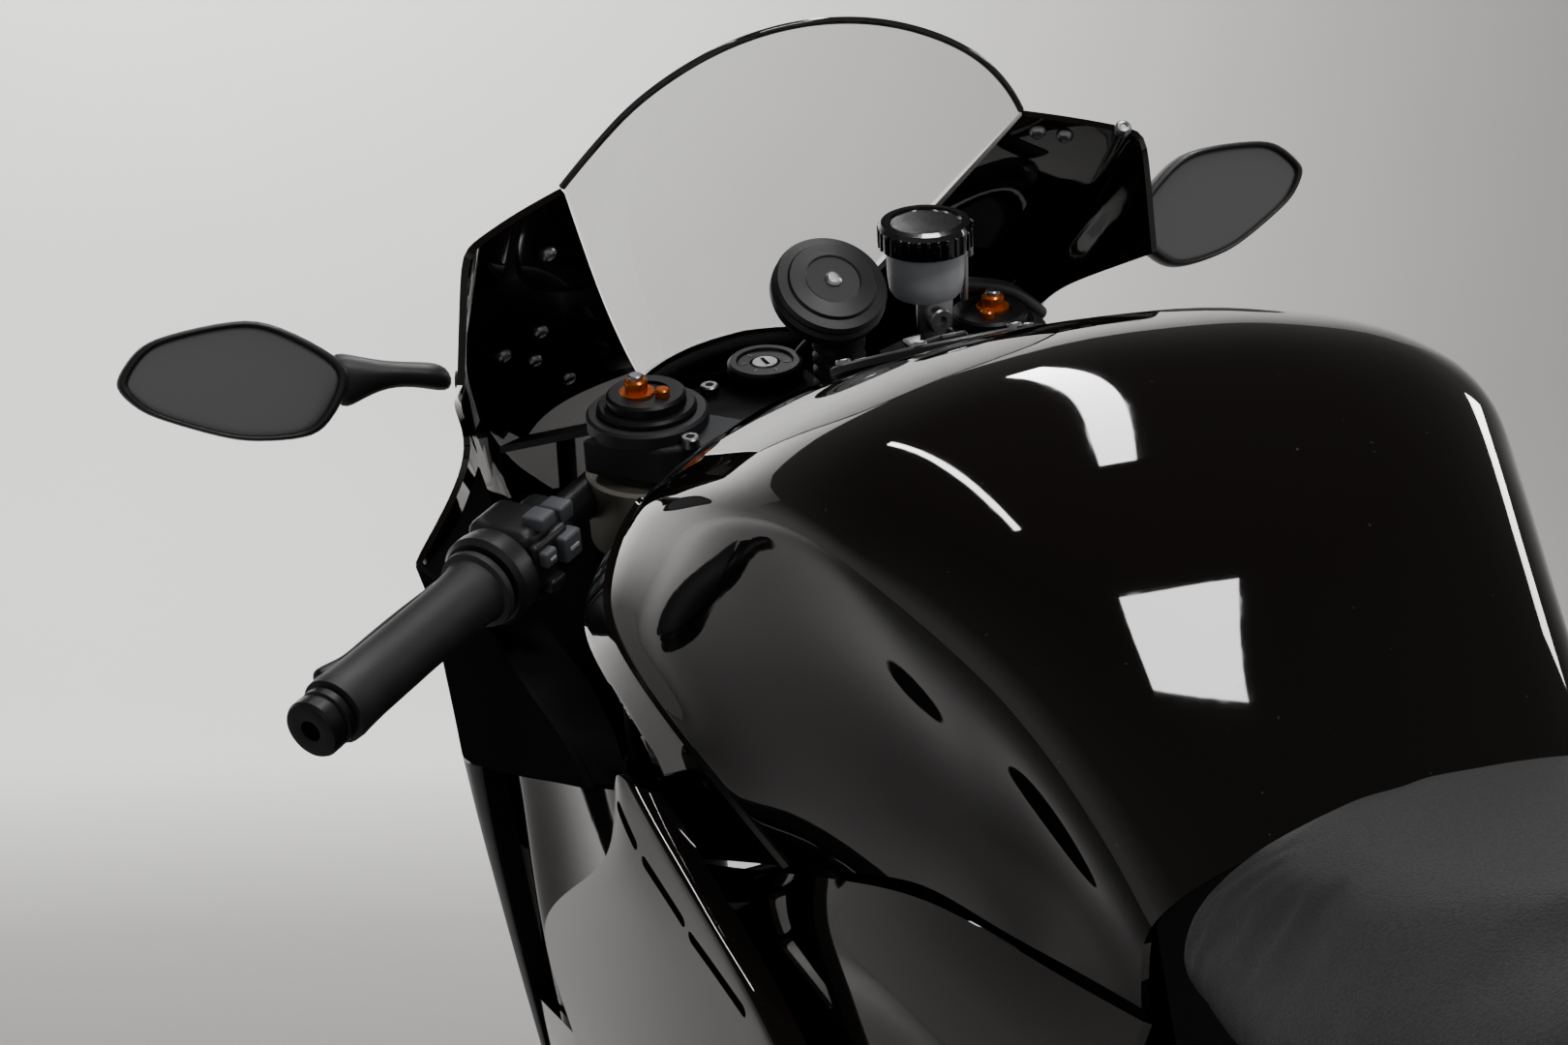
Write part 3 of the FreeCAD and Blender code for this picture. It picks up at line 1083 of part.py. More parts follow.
housing = loft([mirror_ring(MIRROR_X, 1), mirror_ring(MIRROR_X + 12, 1), mirror_ring(MIRROR_X + 34, 0.5)])
STALK = [
    [(1206, 250, 1018), (1226, 250, 1018), (1226, 250, 996), (1206, 250, 996)],
    [(1216, 180, 1000), (1246, 180, 1000), (1246, 180, 984), (1216, 180, 984)],
]
stalk = loft([[Vector(*point) for point in ring] for ring in STALK]).cut(cowl_shape)
stalk = max(stalk.Solids, key=lambda piece: piece.CenterOfMass.y)
mirror_recess = loft([mirror_ring(MIRROR_X - 5, 0.92), mirror_ring(MIRROR_X + 5, 0.92)])
housing = fused([housing, stalk]).cut(mirror_recess)
glass = loft([mirror_ring(MIRROR_X + 1.5, 0.905), mirror_ring(MIRROR_X + 4.7, 0.905)])
feature(Part.makeCompound([housing, mirrored(housing)]), "mirrors")
feature(Part.makeCompound([glass, mirrored(glass)]), "mirror_glasses")

# Side stand, built on the floor: a leg from its pivot to a flat foot
stand_pivot = LEAN.multVec(Vector(S["stand_x"], S["stand_y"], S["stand_z"]))
foot_rise = S["foot_y"] * math.tan(math.radians(S["lean_angle"]))
foot_y = LEAN.multVec(Vector(S["foot_x"], S["foot_y"], foot_rise)).y
foot_spot = Vector(S["foot_x"], foot_y, 0)
leg_end = foot_spot + Vector(0, 0, S["foot_t"])
STAND_WAY = (leg_end - stand_pivot).normalize()
FOLDED_WAY = LEAN.Rotation.multVec(Vector(-0.95, 0.22, 0.16)).normalize()
STAND_AXIS = STAND_WAY.cross(FOLDED_WAY).normalize()
STAND_SWING = math.degrees(STAND_WAY.getAngle(FOLDED_WAY))
EYE_HALF = S["leg_r"] + 0.5
stand_leg = rod(stand_pivot + STAND_WAY * 6, leg_end - STAND_WAY * 3, S["leg_r"])
stand_eye = Part.makeCylinder(17, 2 * EYE_HALF, stand_pivot - STAND_AXIS * EYE_HALF, STAND_AXIS)
stand_foot = Part.makeCylinder(S["foot_r"], S["foot_t"], foot_spot)
stand = fused([stand_leg, stand_eye, stand_foot])
stand = stand.cut(Part.makeCylinder(6.1, 60, stand_pivot - STAND_AXIS * 30, STAND_AXIS))
feature(stand, "side_stand", "floor")
ear_start = EYE_HALF + 0.5
stand_pin = Part.makeCylinder(6, 2 * ear_start + 5, stand_pivot - STAND_AXIS * (ear_start + 3), STAND_AXIS)
stand_mount = Part.makeCylinder(12, 60, stand_pivot - STAND_AXIS * ear_start, STAND_AXIS * -1)
engine_floor = engine_shape.copy()
engine_floor.Placement = LEAN
bracket_shape = fused([stand_pin, stand_mount]).cut(engine_floor)
stand_bracket = max(bracket_shape.Solids, key=lambda piece: piece.BoundBox.YMax)
feature(stand_bracket, "stand_bracket", "floor")

# Every sub-part takes its place on the floor: leaned, and the steering parts turned first
FRAMES = {"bike": LEAN, "steer": LEAN.multiply(PARKED_STEER), "floor": Placement()}
doc.recompute()
for obj, label, home in NODES:
    obj.Placement = FRAMES[home].multiply(obj.Placement)
doc.recompute()
boxes = FreeCAD.BoundBox()
for obj, _, _ in NODES:
    for point in obj.Shape.tessellate(0.5)[0]:
        boxes.add(point)
SHIFT = Placement(Vector(-(boxes.XMin + boxes.XMax) / 2, -(boxes.YMin + boxes.YMax) / 2, 0), Rotation())
for obj, _, _ in NODES:
    obj.Placement = SHIFT.multiply(obj.Placement)
doc.recompute()

for obj in doc.Objects:
    if "Invalid" in obj.State or "Error" in obj.State:
        raise RuntimeError(f"{obj.Label} failed: {obj.State}")
faulty = lambda shape: shape.isNull() or not shape.isValid() or shape.Volume <= 0
bad = [label for obj, label, _ in NODES if faulty(obj.Shape)]
if bad:
    raise RuntimeError(f"not valid solids: {bad}")
for obj, label, _ in NODES:
    obj.Shape.exportStep(f"parts/{label}.step")
overall = (boxes.XLength, boxes.YLength, boxes.ZLength, boxes.ZMin)
print(len(NODES), "sub-parts", [round(v) for v in overall])
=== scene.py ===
# %% [markdown]
# # A sport bike on its side stand
# A litre-class road bike with a full fairing, seen over its left shoulder: tank, seat, clip-on bars and screen.
# The solid parts come in from CAD as a fixed frame, and this file dresses them. Hard shapes that were drawn
# plainly there, such as the tank and the fairing, are modelled again here with soft curves, each exactly where
# the plain one stands. Everything is in metres on the floor; tables of points are in millimetres on the upright
# bike, X forward from the rear axle, Y to the left and Z up, because that is how a bike is drawn.

# %% Load the frame
import json
import math

import bpy
from mathutils import Matrix, Vector

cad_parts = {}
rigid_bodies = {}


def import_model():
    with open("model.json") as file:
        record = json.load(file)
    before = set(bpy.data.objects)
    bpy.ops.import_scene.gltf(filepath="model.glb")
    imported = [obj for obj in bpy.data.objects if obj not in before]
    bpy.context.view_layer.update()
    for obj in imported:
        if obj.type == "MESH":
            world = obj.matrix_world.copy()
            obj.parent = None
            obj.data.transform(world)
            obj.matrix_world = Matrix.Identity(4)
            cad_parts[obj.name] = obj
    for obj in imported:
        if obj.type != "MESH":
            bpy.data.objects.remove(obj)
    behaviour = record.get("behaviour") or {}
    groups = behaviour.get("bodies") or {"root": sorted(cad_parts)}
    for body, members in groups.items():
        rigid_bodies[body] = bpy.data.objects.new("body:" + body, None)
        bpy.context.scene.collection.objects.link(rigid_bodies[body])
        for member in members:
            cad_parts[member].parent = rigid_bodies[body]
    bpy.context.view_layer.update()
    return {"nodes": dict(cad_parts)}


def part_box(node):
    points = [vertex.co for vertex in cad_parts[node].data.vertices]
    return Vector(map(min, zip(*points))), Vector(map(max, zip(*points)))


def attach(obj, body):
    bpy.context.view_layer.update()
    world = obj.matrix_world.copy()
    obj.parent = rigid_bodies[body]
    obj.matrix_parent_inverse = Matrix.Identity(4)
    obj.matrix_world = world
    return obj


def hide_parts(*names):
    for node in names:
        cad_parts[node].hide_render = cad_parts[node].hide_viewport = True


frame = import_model()

# %% [markdown]
# ## Where the bike stands
# A parked bike leans on its stand, so nothing on it is square to the floor. It is far easier to model upright
# and to lean the finished mesh. One matrix leans the bike and sets it down, and a second one also turns the
# handlebars, which stand five degrees to the left. The shift along the floor is read from the rear axle.

# %% The leaned bike and the turned steering
MM = 0.001
LEAN, PITCH, LIFT = math.radians(-12.8), 0.0016, 2.361 * MM
AXLE_HEIGHT = 318 * MM
RAKE, STEER_TURN = math.radians(24), math.radians(5)
STEER_ORIGIN = Vector((1378.654, 0, 288.27)) * MM
FORK_OFFSET = 28.84

leaned = Matrix.Translation((0, 0, LIFT)) @ Matrix.Rotation(PITCH, 4, "Y") @ Matrix.Rotation(LEAN, 4, "X")
axle_low, axle_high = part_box("rear_axle")
axle_middle = (Vector(axle_low) + Vector(axle_high)) / 2
shift = axle_middle - leaned @ Vector((0, 0, AXLE_HEIGHT))
BIKE = Matrix.Translation((shift.x, shift.y, 0)) @ leaned
upright_steering = Matrix.Translation(STEER_ORIGIN) @ Matrix.Rotation(-RAKE, 4, "Y")
STEER = BIKE @ upright_steering @ Matrix.Rotation(STEER_TURN, 4, "Z")
print("rear axle", [round(v, 4) for v in axle_middle], "shift", [round(v, 4) for v in shift])

# %% [markdown]
# ## The camera
# The view is from behind the left grip at shoulder height, with a normal lens, so the near tank fills the
# picture and the screen stands beyond it. The camera's own axes are given on the upright bike and leaned with
# it: that keeps the fit to the picture even if the bike's place on the floor changes.

# %% Camera
IMAGE_WIDTH, IMAGE_HEIGHT = 1620, 1080
FOCAL_PIXELS = 2421.8
CAMERA_PLACE = Vector((-118.5, 410.5, 1025.5)) * MM
VIEW_RIGHT = Vector((-0.3024, -0.936, -0.1799))
VIEW_AHEAD = Vector((0.9519, -0.2868, -0.1081))

ahead = (BIKE.to_3x3() @ VIEW_AHEAD).normalized()
right = (BIKE.to_3x3() @ VIEW_RIGHT).normalized()
up = right.cross(ahead).normalized()
right = ahead.cross(up)
lens = bpy.data.cameras.new("camera")
lens.sensor_width = 36
lens.lens = 36 * FOCAL_PIXELS / IMAGE_WIDTH
lens.clip_start = 0.02
camera = bpy.data.objects.new("camera", lens)
bpy.context.scene.collection.objects.link(camera)
turn = Matrix((right, up, -ahead)).transposed().to_4x4()
camera.matrix_world = Matrix.Translation(BIKE @ CAMERA_PLACE) @ turn
bpy.context.scene.camera = camera
print("camera at", [round(v, 3) for v in camera.location], "lens", round(lens.lens, 2))

# %% [markdown]
# ## Modelling helpers
# Each helper does one thing that a modeller does by hand: clear the selection, finish a piece by applying its
# modifiers, and settle it in its place on the leaned bike. A piece that is settled keeps its place in its
# points, and its object stays at the origin, as the CAD pieces do.


# %% Helpers for every piece
def clear_selection():
    """Deselects everything, because operators act on all that is selected."""
    if bpy.context.object and bpy.context.object.mode != "OBJECT":
        bpy.ops.object.mode_set(mode="OBJECT")
    bpy.ops.object.select_all(action="DESELECT")


def pick(piece):
    clear_selection()
    piece.select_set(True)
    bpy.context.view_layer.objects.active = piece
    return piece


def apply_modifiers(piece):
    pick(piece)
    for modifier in list(piece.modifiers):
        bpy.ops.object.modifier_apply(modifier=modifier.name)
    return piece


def add_modifier(piece, kind, **settings):
    modifier = piece.modifiers.new(kind.title(), kind)
    for name, value in settings.items():
        setattr(modifier, name, value)
    return modifier


def outward(piece):
    """Merges doubles and turns all faces outwards."""
    pick(piece)
    bpy.ops.object.mode_set(mode="EDIT")
    bpy.ops.mesh.select_all(action="SELECT")
    bpy.ops.mesh.remove_doubles(threshold=0.00002)
    bpy.ops.mesh.normals_make_consistent(inside=False)
    bpy.ops.object.mode_set(mode="OBJECT")
    return piece


def smooth(piece, angle=35):
    pick(piece)
    bpy.ops.object.shade_smooth_by_angle(angle=math.radians(angle))
    return piece


def settle(piece, place, body, finish, replaced=()):
    """Puts a finished piece where it belongs: leaned, dressed, riding on a body, standing for CAD nodes."""
    piece.data.transform(piece.matrix_world)
    piece.matrix_world = Matrix.Identity(4)
    piece.data.transform(place)
    piece.data.update()
    piece.data.materials.clear()
    piece.data.materials.append(finish)
    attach(piece, body)
    if replaced:
        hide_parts(*replaced)
    clear_selection()
    return piece


def piece_from(name, points, faces):
    """A new mesh object from a table of points in millimetres and faces."""
    mesh = bpy.data.meshes.new(name)
    mesh.from_pydata([tuple(c * MM for c in p) for p in points], [], faces)
    mesh.update()
    piece = bpy.data.objects.new(name, mesh)
    bpy.context.scene.collection.objects.link(piece)
    return piece


def count_of(piece):
    return len(piece.data.polygons)

# %% [markdown]
# ## Writing materials as sums
# A material is a small graph of nodes, and most of it is arithmetic. This class wraps one output socket so that
# the arithmetic can be written as in Python: a sum or a product of two wrapped values adds the Math node that
# works it out. Every other node comes from one method.


# %% A socket that can be added and multiplied
class Wire:
    def __init__(self, tree, socket):
        self.tree, self.socket = tree, socket

    def _math(self, operation, first, second=None):
        node = self.tree.nodes.new("ShaderNodeMath")
        node.operation = operation
        for slot, value in zip(node.inputs, (first, second)):
            if isinstance(value, Wire):
                self.tree.links.new(value.socket, slot)
            elif value is not None:
                slot.default_value = value
        return Wire(self.tree, node.outputs[0])

    def __add__(self, other):
        return self._math("ADD", self, other)

    __radd__ = __add__

    def __mul__(self, other):
        return self._math("MULTIPLY", self, other)

    __rmul__ = __mul__

    def __sub__(self, other):
        return self._math("SUBTRACT", self, other)

    def __gt__(self, other):
        return self._math("GREATER_THAN", self, other)

    def call(self, operation, other=None):
        return self._math(operation, self, other)


class Finish:
    """A material in the making."""

    def __init__(self, name, colour, roughness, metallic=0.0, **constants):
        self.material = bpy.data.materials.new(name)
        self.material.use_nodes = True
        self.tree = self.material.node_tree
        self.shader = self.tree.nodes["Principled BSDF"]
        self.feed(Base_Color=(*colour, 1), Roughness=roughness, Metallic=metallic, **constants)

    def node(self, kind, settings=None, output=0, **inputs):
        """Adds a node: settings first, then the values or links of its sockets."""
        node = self.tree.nodes.new("ShaderNode" + kind)
        for name, value in (settings or {}).items():
            setattr(node, name, value)
        for name, value in inputs.items():
            self.join(node.inputs[int(name[1:]) if name[1:].isdigit() else name.replace("_", " ")], value)
        return Wire(self.tree, node.outputs[output])

    def join(self, slot, value):
        if isinstance(value, Wire):
            self.tree.links.new(value.socket, slot)
        else:
            slot.default_value = value

    def feed(self, **inputs):
        for name, value in inputs.items():
            self.join(self.shader.inputs[name.replace("_", " ")], value)
        return self

    def place(self):
        return self.node("TexCoord", output=3)

    def noise(self, size, detail=2.0, stretch=(1, 1, 1)):
        """Soft noise whose lumps are about size metres across."""
        here = self.node("Mapping", Vector=self.place(), Scale=stretch)
        return self.node("TexNoise", Vector=here, Scale=1 / size, Detail=detail, Roughness=0.55)

    def cells(self, size):
        return self.node("TexVoronoi", Vector=self.place(), Scale=1 / size)

    def mix(self, factor, first, second):
        """A colour between two colours."""
        node = self.tree.nodes.new("ShaderNodeMix")
        node.data_type = "RGBA"
        self.join(node.inputs[0], factor)
        self.join(node.inputs[6], first if isinstance(first, Wire) else (*first, 1))
        self.join(node.inputs[7], second if isinstance(second, Wire) else (*second, 1))
        return Wire(self.tree, node.outputs[2])

    def bump(self, height, depth):
        """Fine relief, depth metres high."""
        self.feed(Normal=self.node("Bump", Strength=1.0, Distance=depth, Height=height))
        return self


# %% [markdown]
# ## Paint and plastics
# The body is sprayed in a warm black under clear lacquer. Lacquer is smooth but never flat: a very soft ripple,
# as of orange peel, breaks up the reflections, and a few motes of dust dull it. The inner cowl and the small
# housings are moulded plastic with a fine spark-eroded grain, so their highlights are wide and grey.

# %% Paint and plastic finishes
MOTE_LEVEL, MOTE_SHARE, MOTE_COLOUR = 0.74, 0.35, (0.12, 0.12, 0.12)


def gloss_paint(name, colour, roughness=0.035):
    paint = Finish(name, colour, roughness, Coat_Weight=1.0, Coat_Roughness=0.02, Specular_IOR_Level=0.18)
    ripple = paint.noise(0.012, 1.0)
    dust = paint.noise(0.0035, 4.0) > MOTE_LEVEL
    haze = paint.noise(0.06, 3.0)
    paint.feed(Base_Color=paint.mix(dust * MOTE_SHARE, colour, MOTE_COLOUR))
    paint.feed(Roughness=haze * 0.02 + dust * 0.12 + (roughness - 0.01))
    return paint.bump(ripple, 0.00004).material


def moulded(name, colour, roughness=0.45, grain=0.0009, depth=0.00006, shine=0.5):
    plastic = Finish(name, colour, roughness, Specular_IOR_Level=shine)
    fine = plastic.noise(grain, 3.0)
    blotch = plastic.noise(0.03, 2.0)
    plastic.feed(Roughness=blotch * 0.14 + (roughness - 0.07))
    lighter = tuple(min(1, c * 1.7 + 0.004) for c in colour)
    plastic.feed(Base_Color=plastic.mix(fine * 0.5, colour, lighter))
    return plastic.bump(fine, depth).material


BLACK_PAINT = gloss_paint("black_paint", (0.0075, 0.0058, 0.0050))
GLOSS_TRIM = gloss_paint("gloss_trim", (0.006, 0.006, 0.0065), 0.12)
SATIN_PLASTIC = moulded("satin_plastic", (0.012, 0.012, 0.013), 0.42)
# Partly the matt black of the inner panels, partly painted shade: this black reflects nothing, so the low part of
# the cowl's side, its lining and the bulkhead stay dark.
SHADE_BLACK = moulded("shade_black", (0.009, 0.009, 0.0095), 0.5, shine=0.0)
GREY_PLASTIC = moulded("grey_plastic", (0.085, 0.09, 0.10), 0.5)
PALE_BUTTON = moulded("pale_button", (0.42, 0.44, 0.46), 0.45)
LOCK_MARKS = moulded("lock_marks", (0.35, 0.36, 0.37), 0.5)

# %% [markdown]
# ## Metals
# Machined metal shows the way it was cut, cast metal shows sand, and anodised metal keeps its shine under a
# colour. The noise of a brushed finish is stretched along one direction to draw its scratches.


# %% Metal finishes
def metal(name, colour, roughness, metallic=1.0, stretch=(1, 1, 1), grain=0.0012, depth=0.00003, stain=0.25):
    bare = Finish(name, colour, roughness, metallic)
    scratch = bare.noise(grain, 3.0, stretch)
    patch = bare.noise(0.025, 3.0)
    dark = tuple(c * (1 - stain) for c in colour)
    bare.feed(Base_Color=bare.mix(patch, dark, colour))
    bare.feed(Roughness=scratch * 0.16 + patch * 0.08 + (roughness - 0.1))
    return bare.bump(scratch, depth).material


CAST_GREY = metal("cast_grey", (0.045, 0.045, 0.05), 0.55, 0.5, grain=0.002, depth=0.00012)
CLAMP_GREY = metal("clamp_grey", (0.035, 0.036, 0.04), 0.5, 0.4, grain=0.0012, depth=0.00006)
BLACK_METAL = metal("black_metal", (0.018, 0.018, 0.019), 0.38, 0.5)
FRAME_METAL = metal("frame_metal", (0.03, 0.03, 0.032), 0.36, 0.7, grain=0.003)
PALE_ALLOY = metal("pale_alloy", (0.42, 0.40, 0.35), 0.42, 0.85)
SILVER = metal("silver", (0.62, 0.63, 0.65), 0.28, 1.0, (1, 6, 1))
STEEL = metal("steel", (0.42, 0.42, 0.43), 0.3, 1.0, (1, 8, 1))
DISC_STEEL = metal("disc_steel", (0.50, 0.50, 0.50), 0.26, 1.0, (1, 1, 9))
ORANGE_ANODISED = metal("orange_anodised", (0.85, 0.20, 0.03), 0.26, 0.75)
TITANIUM = metal("titanium", (0.24, 0.22, 0.20), 0.32, 1.0, (7, 1, 1), stain=0.4)
CHAIN_STEEL = metal("chain_steel", (0.20, 0.19, 0.17), 0.42, 0.9, grain=0.004, depth=0.0002, stain=0.5)
WHEEL_BLACK = metal("wheel_black", (0.012, 0.012, 0.013), 0.3, 0.35, grain=0.003)

# %% [markdown]
# ## Rubber, vinyl, glass and lenses
# Grips and tyres are matt and slightly grey. The seat's vinyl has a pebble grain of about a millimetre that
# softens its sheen. Screens and lenses are thin, so they are made see-through with alpha and keep their gloss.


# %% Soft and clear finishes
def rubbery(name, colour, roughness, grain, depth):
    rubber = Finish(name, colour, roughness)
    speck = rubber.noise(grain, 4.0)
    wear = rubber.noise(0.02, 3.0)
    rubber.feed(Base_Color=rubber.mix(wear * 0.6, colour, tuple(c * 2.2 + 0.004 for c in colour)))
    rubber.feed(Roughness=wear * 0.12 + (roughness - 0.06))
    return rubber.bump(speck, depth).material


def vinyl(name, colour):
    cover = Finish(name, colour, 0.55, Sheen_Weight=0.04, Sheen_Roughness=0.5, Specular_IOR_Level=0.35)
    pebble = cover.cells(0.0011)
    soft = cover.noise(0.03, 2.0)
    cover.feed(Base_Color=cover.mix(soft * 0.5, colour, tuple(c * 1.5 for c in colour)))
    cover.feed(Roughness=pebble * 0.25 + soft * 0.1 + 0.42)
    return cover.bump(pebble, 0.00012).material


def clear(name, colour, alpha, roughness=0.03, metallic=0.0):
    lens = Finish(name, colour, roughness, metallic, Alpha=alpha)
    lens.feed(Roughness=lens.noise(0.02, 2.0) * 0.03 + roughness)
    return lens.material


GRIP_RUBBER = rubbery("grip_rubber", (0.016, 0.016, 0.017), 0.55, 0.0006, 0.00008)
TYRE_RUBBER = rubbery("tyre_rubber", (0.012, 0.012, 0.012), 0.72, 0.0012, 0.0001)
HOSE_RUBBER = rubbery("hose_rubber", (0.012, 0.012, 0.013), 0.4, 0.001, 0.00004)
SEAT_VINYL = vinyl("seat_vinyl", (0.009, 0.0093, 0.0108))
SCREEN_CLEAR = clear("screen_clear", (0.03, 0.03, 0.03), 0.24)
SCREEN_RIM = clear("screen_rim", (0.01, 0.01, 0.01), 0.9)
MIRROR_GREY = clear("mirror_grey", (0.17, 0.17, 0.175), 1.0, 0.16, metallic=0.5)
CUP_WHITE = clear("cup_white", (0.62, 0.66, 0.70), 0.8, 0.3)
LAMP_CLEAR = clear("lamp_clear", (0.75, 0.78, 0.8), 0.3)
TAIL_RED = clear("tail_red", (0.22, 0.004, 0.004), 0.92, 0.1)
DISPLAY_GLASS = clear("display_glass", (0.004, 0.004, 0.006), 1.0, 0.06)
print("materials", len(bpy.data.materials))

# %% [markdown]
# ## Dressing the CAD pieces
# Where the drawn shape is already right, a CAD piece stays and only gets its finish.

# %% Finishes for CAD pieces
DRESS = {
    "front_tyre": TYRE_RUBBER, "rear_tyre": TYRE_RUBBER, "front_rim": WHEEL_BLACK, "rear_rim": WHEEL_BLACK,
    "front_discs": DISC_STEEL, "rear_disc": DISC_STEEL, "rear_sprocket": STEEL, "rear_axle": STEEL,
    "chain": CHAIN_STEEL, "swingarm": FRAME_METAL, "swingarm_pivot": STEEL, "seat_rails": BLACK_METAL,
    "engine": CAST_GREY, "radiator": BLACK_METAL, "exhaust": TITANIUM, "rear_shock": BLACK_METAL,
    "footrests": BLACK_METAL, "rear_caliper": BLACK_METAL, "fork_outer_tubes": BLACK_METAL,
    "fork_legs": BLACK_METAL, "front_axle": STEEL, "upper_clamp": CLAMP_GREY, "lower_clamp": CLAMP_GREY,
    "handlebars": BLACK_METAL, "grips": GRIP_RUBBER, "bar_ends": BLACK_METAL, "switch_pods": SATIN_PLASTIC,
    "hand_levers": BLACK_METAL, "brake_reservoir": CUP_WHITE, "reservoir_bracket": SILVER,
    "stem_mount": SATIN_PLASTIC, "ignition_lock": BLACK_METAL, "front_fender": BLACK_PAINT,
    "front_calipers": BLACK_METAL, "fuel_tank": BLACK_PAINT, "fuel_cap": BLACK_METAL,
    "rider_seat": SEAT_VINYL, "pillion_seat": SEAT_VINYL, "tail_cowl": BLACK_PAINT, "tail_lamp": TAIL_RED,
    "plate_holder": SATIN_PLASTIC, "upper_cowl": BLACK_PAINT, "windscreen": SCREEN_CLEAR,
    "side_fairings": BLACK_PAINT, "belly_pan": BLACK_PAINT, "side_covers": BLACK_PAINT,
    "main_frame": FRAME_METAL, "instrument_display": DISPLAY_GLASS, "cockpit_panel": SATIN_PLASTIC,
    "fairing_stay": BLACK_METAL, "headlamps": LAMP_CLEAR, "mirrors": SATIN_PLASTIC,
    "mirror_glasses": MIRROR_GREY, "side_stand": BLACK_METAL, "stand_bracket": BLACK_METAL,
}
for name, finish in DRESS.items():
    node = frame["nodes"][name]
    node.data.materials.clear()
    node.data.materials.append(finish)
undressed = sorted(set(frame["nodes"]) - set(DRESS))
print("dressed", len(DRESS), "left", undressed)

# %% [markdown]
# ## The studio
# A dark glossy object is lit by what it reflects. The pale floor curves up into a wall ahead of the bike, which
# the shoulders of the tank mirror. Close to the bike the floor is painted darker, a painted shade round the bike
# that keeps the fairing dark, because the fairing mirrors that part at a low angle. The air is pale at the horizon
# and dim overhead, so the top stays black. What lights the scene is a few ceiling lamps. Each is placed where a
# line of sight, mirrored at the tank, meets the ceiling: the long ones draw the two streaks beside the filler, and
# the square one draws the patch by the seat.

# %% Floor and wall
FLOOR_HALF, WALL_HEIGHT, CURVE = 7.0, 6.0, 1.2
backdrop_finish = Finish("backdrop", (0.6, 0.59, 0.58), 0.9)
tone = backdrop_finish.noise(0.9, 2.0)
# Painted shade: the floor's colour is darker close to the bike and pales out between these two distances.
NEAR_FLOOR, FAR_FLOOR = 2.5, 4.5
per_metre = 1 / (FAR_FLOOR - NEAR_FLOOR)
reach = backdrop_finish.node("VectorMath", {"operation": "LENGTH"}, output=1, _0=backdrop_finish.place())
out_of_painted_shade = (reach * per_metre - NEAR_FLOOR * per_metre).call("MAXIMUM", 0.0).call("MINIMUM", 1.0)
pale = backdrop_finish.mix(out_of_painted_shade, (0.32, 0.312, 0.308), (0.62, 0.61, 0.60))
backdrop_finish.feed(Base_Color=backdrop_finish.mix(tone * 0.25, pale, (0.45, 0.44, 0.43)))
bpy.ops.mesh.primitive_plane_add(size=2 * FLOOR_HALF, location=(0.8, 0, 0))
floor = bpy.context.object
floor.name = "studio_floor"
bpy.ops.object.mode_set(mode="EDIT")
bpy.ops.mesh.select_mode(type="EDGE")
bpy.ops.mesh.select_all(action="DESELECT")
bpy.ops.object.mode_set(mode="OBJECT")
far_x = max(v.co.x for v in floor.data.vertices)
for edge in floor.data.edges:
    edge.select = all(abs(floor.data.vertices[i].co.x - far_x) < 1e-4 for i in edge.vertices)
bpy.ops.object.mode_set(mode="EDIT")
bpy.ops.mesh.extrude_region_move(TRANSFORM_OT_translate={"value": (0, 0, WALL_HEIGHT)})
bpy.ops.object.mode_set(mode="OBJECT")
add_modifier(floor, "BEVEL", width=CURVE, segments=12, limit_method="ANGLE")
apply_modifiers(floor)
smooth(floor, 60)
floor.data.materials.append(backdrop_finish.material)
clear_selection()

# %% Air
world = bpy.data.worlds.new("studio_air")
world.use_nodes = True
air = world.node_tree
height = air.nodes.new("ShaderNodeSeparateXYZ")
fade = air.nodes.new("ShaderNodeValToRGB")
air.links.new(air.nodes.new("ShaderNodeTexCoord").outputs["Generated"], height.inputs[0])
air.links.new(height.outputs["Z"], fade.inputs["Fac"])
air.links.new(fade.outputs["Color"], air.nodes["Background"].inputs["Color"])
AIR_STEPS = [(0.0, 0.42), (0.12, 0.40), (0.45, 0.09), (0.85, 0.028)]
ramp = fade.color_ramp.elements
while len(ramp) < len(AIR_STEPS):
    ramp.new(0.5)
for step, (place, glow) in zip(ramp, AIR_STEPS):
    step.position = place
    step.color = (glow, glow * 0.97, glow * 0.94, 1)
bpy.context.scene.world = world


# %% Lamps
def soft_lamp(name, place, target, size, glow, turn=0):
    """A rectangular lamp of a given size and brightness, facing its target, turned about its own axis."""
    data = bpy.data.lights.new(name, "AREA")
    data.shape = "RECTANGLE"
    data.size, data.size_y = size
    data.energy = glow * math.pi * size[0] * size[1]
    lamp = bpy.data.objects.new(name, data)
    bpy.context.scene.collection.objects.link(lamp)
    lamp.location = place
    lamp.rotation_euler = (Vector(target) - Vector(place)).to_track_quat("-Z", "Y").to_euler()
    lamp.rotation_euler.rotate_axis("Z", math.radians(turn))
    return lamp


CEILING = 3.0
soft_lamp("long_strip", (0.95, -0.31, CEILING), (0.95, -0.31, 0), (2.2, 0.13), 28, turn=-6.6)
soft_lamp("thin_strip", (0.42, 0.56, CEILING), (0.42, 0.56, 0), (1.95, 0.05), 36)
soft_lamp("square_lamp", (-1.6, -0.21, CEILING), (-1.6, -0.21, 0), (0.7, 0.6), 24)
soft_lamp("right_strip", (0.6, -3.6, CEILING), (0, -0.1, 0.9), (2.6, 0.3), 16)
soft_lamp("wall_wash", (4.4, 0.5, 4.6), (7.8, 0.5, 1.4), (5.0, 1.0), 42)
print("lamps", [lamp.name for lamp in bpy.data.lights])

# %% [markdown]
# ## Soft bodywork from a cage
# A tank, a fairing or a tail is a free surface. By hand it is pulled out of a plane row by row; here each row of
# points is typed, because its place is known, and the faces between the rows are the cage. Two grids that share
# points grow together. A mirror makes the right side, Subdivision rounds the cage off, marked edges stay crisp,
# and Solidify gives the wall.


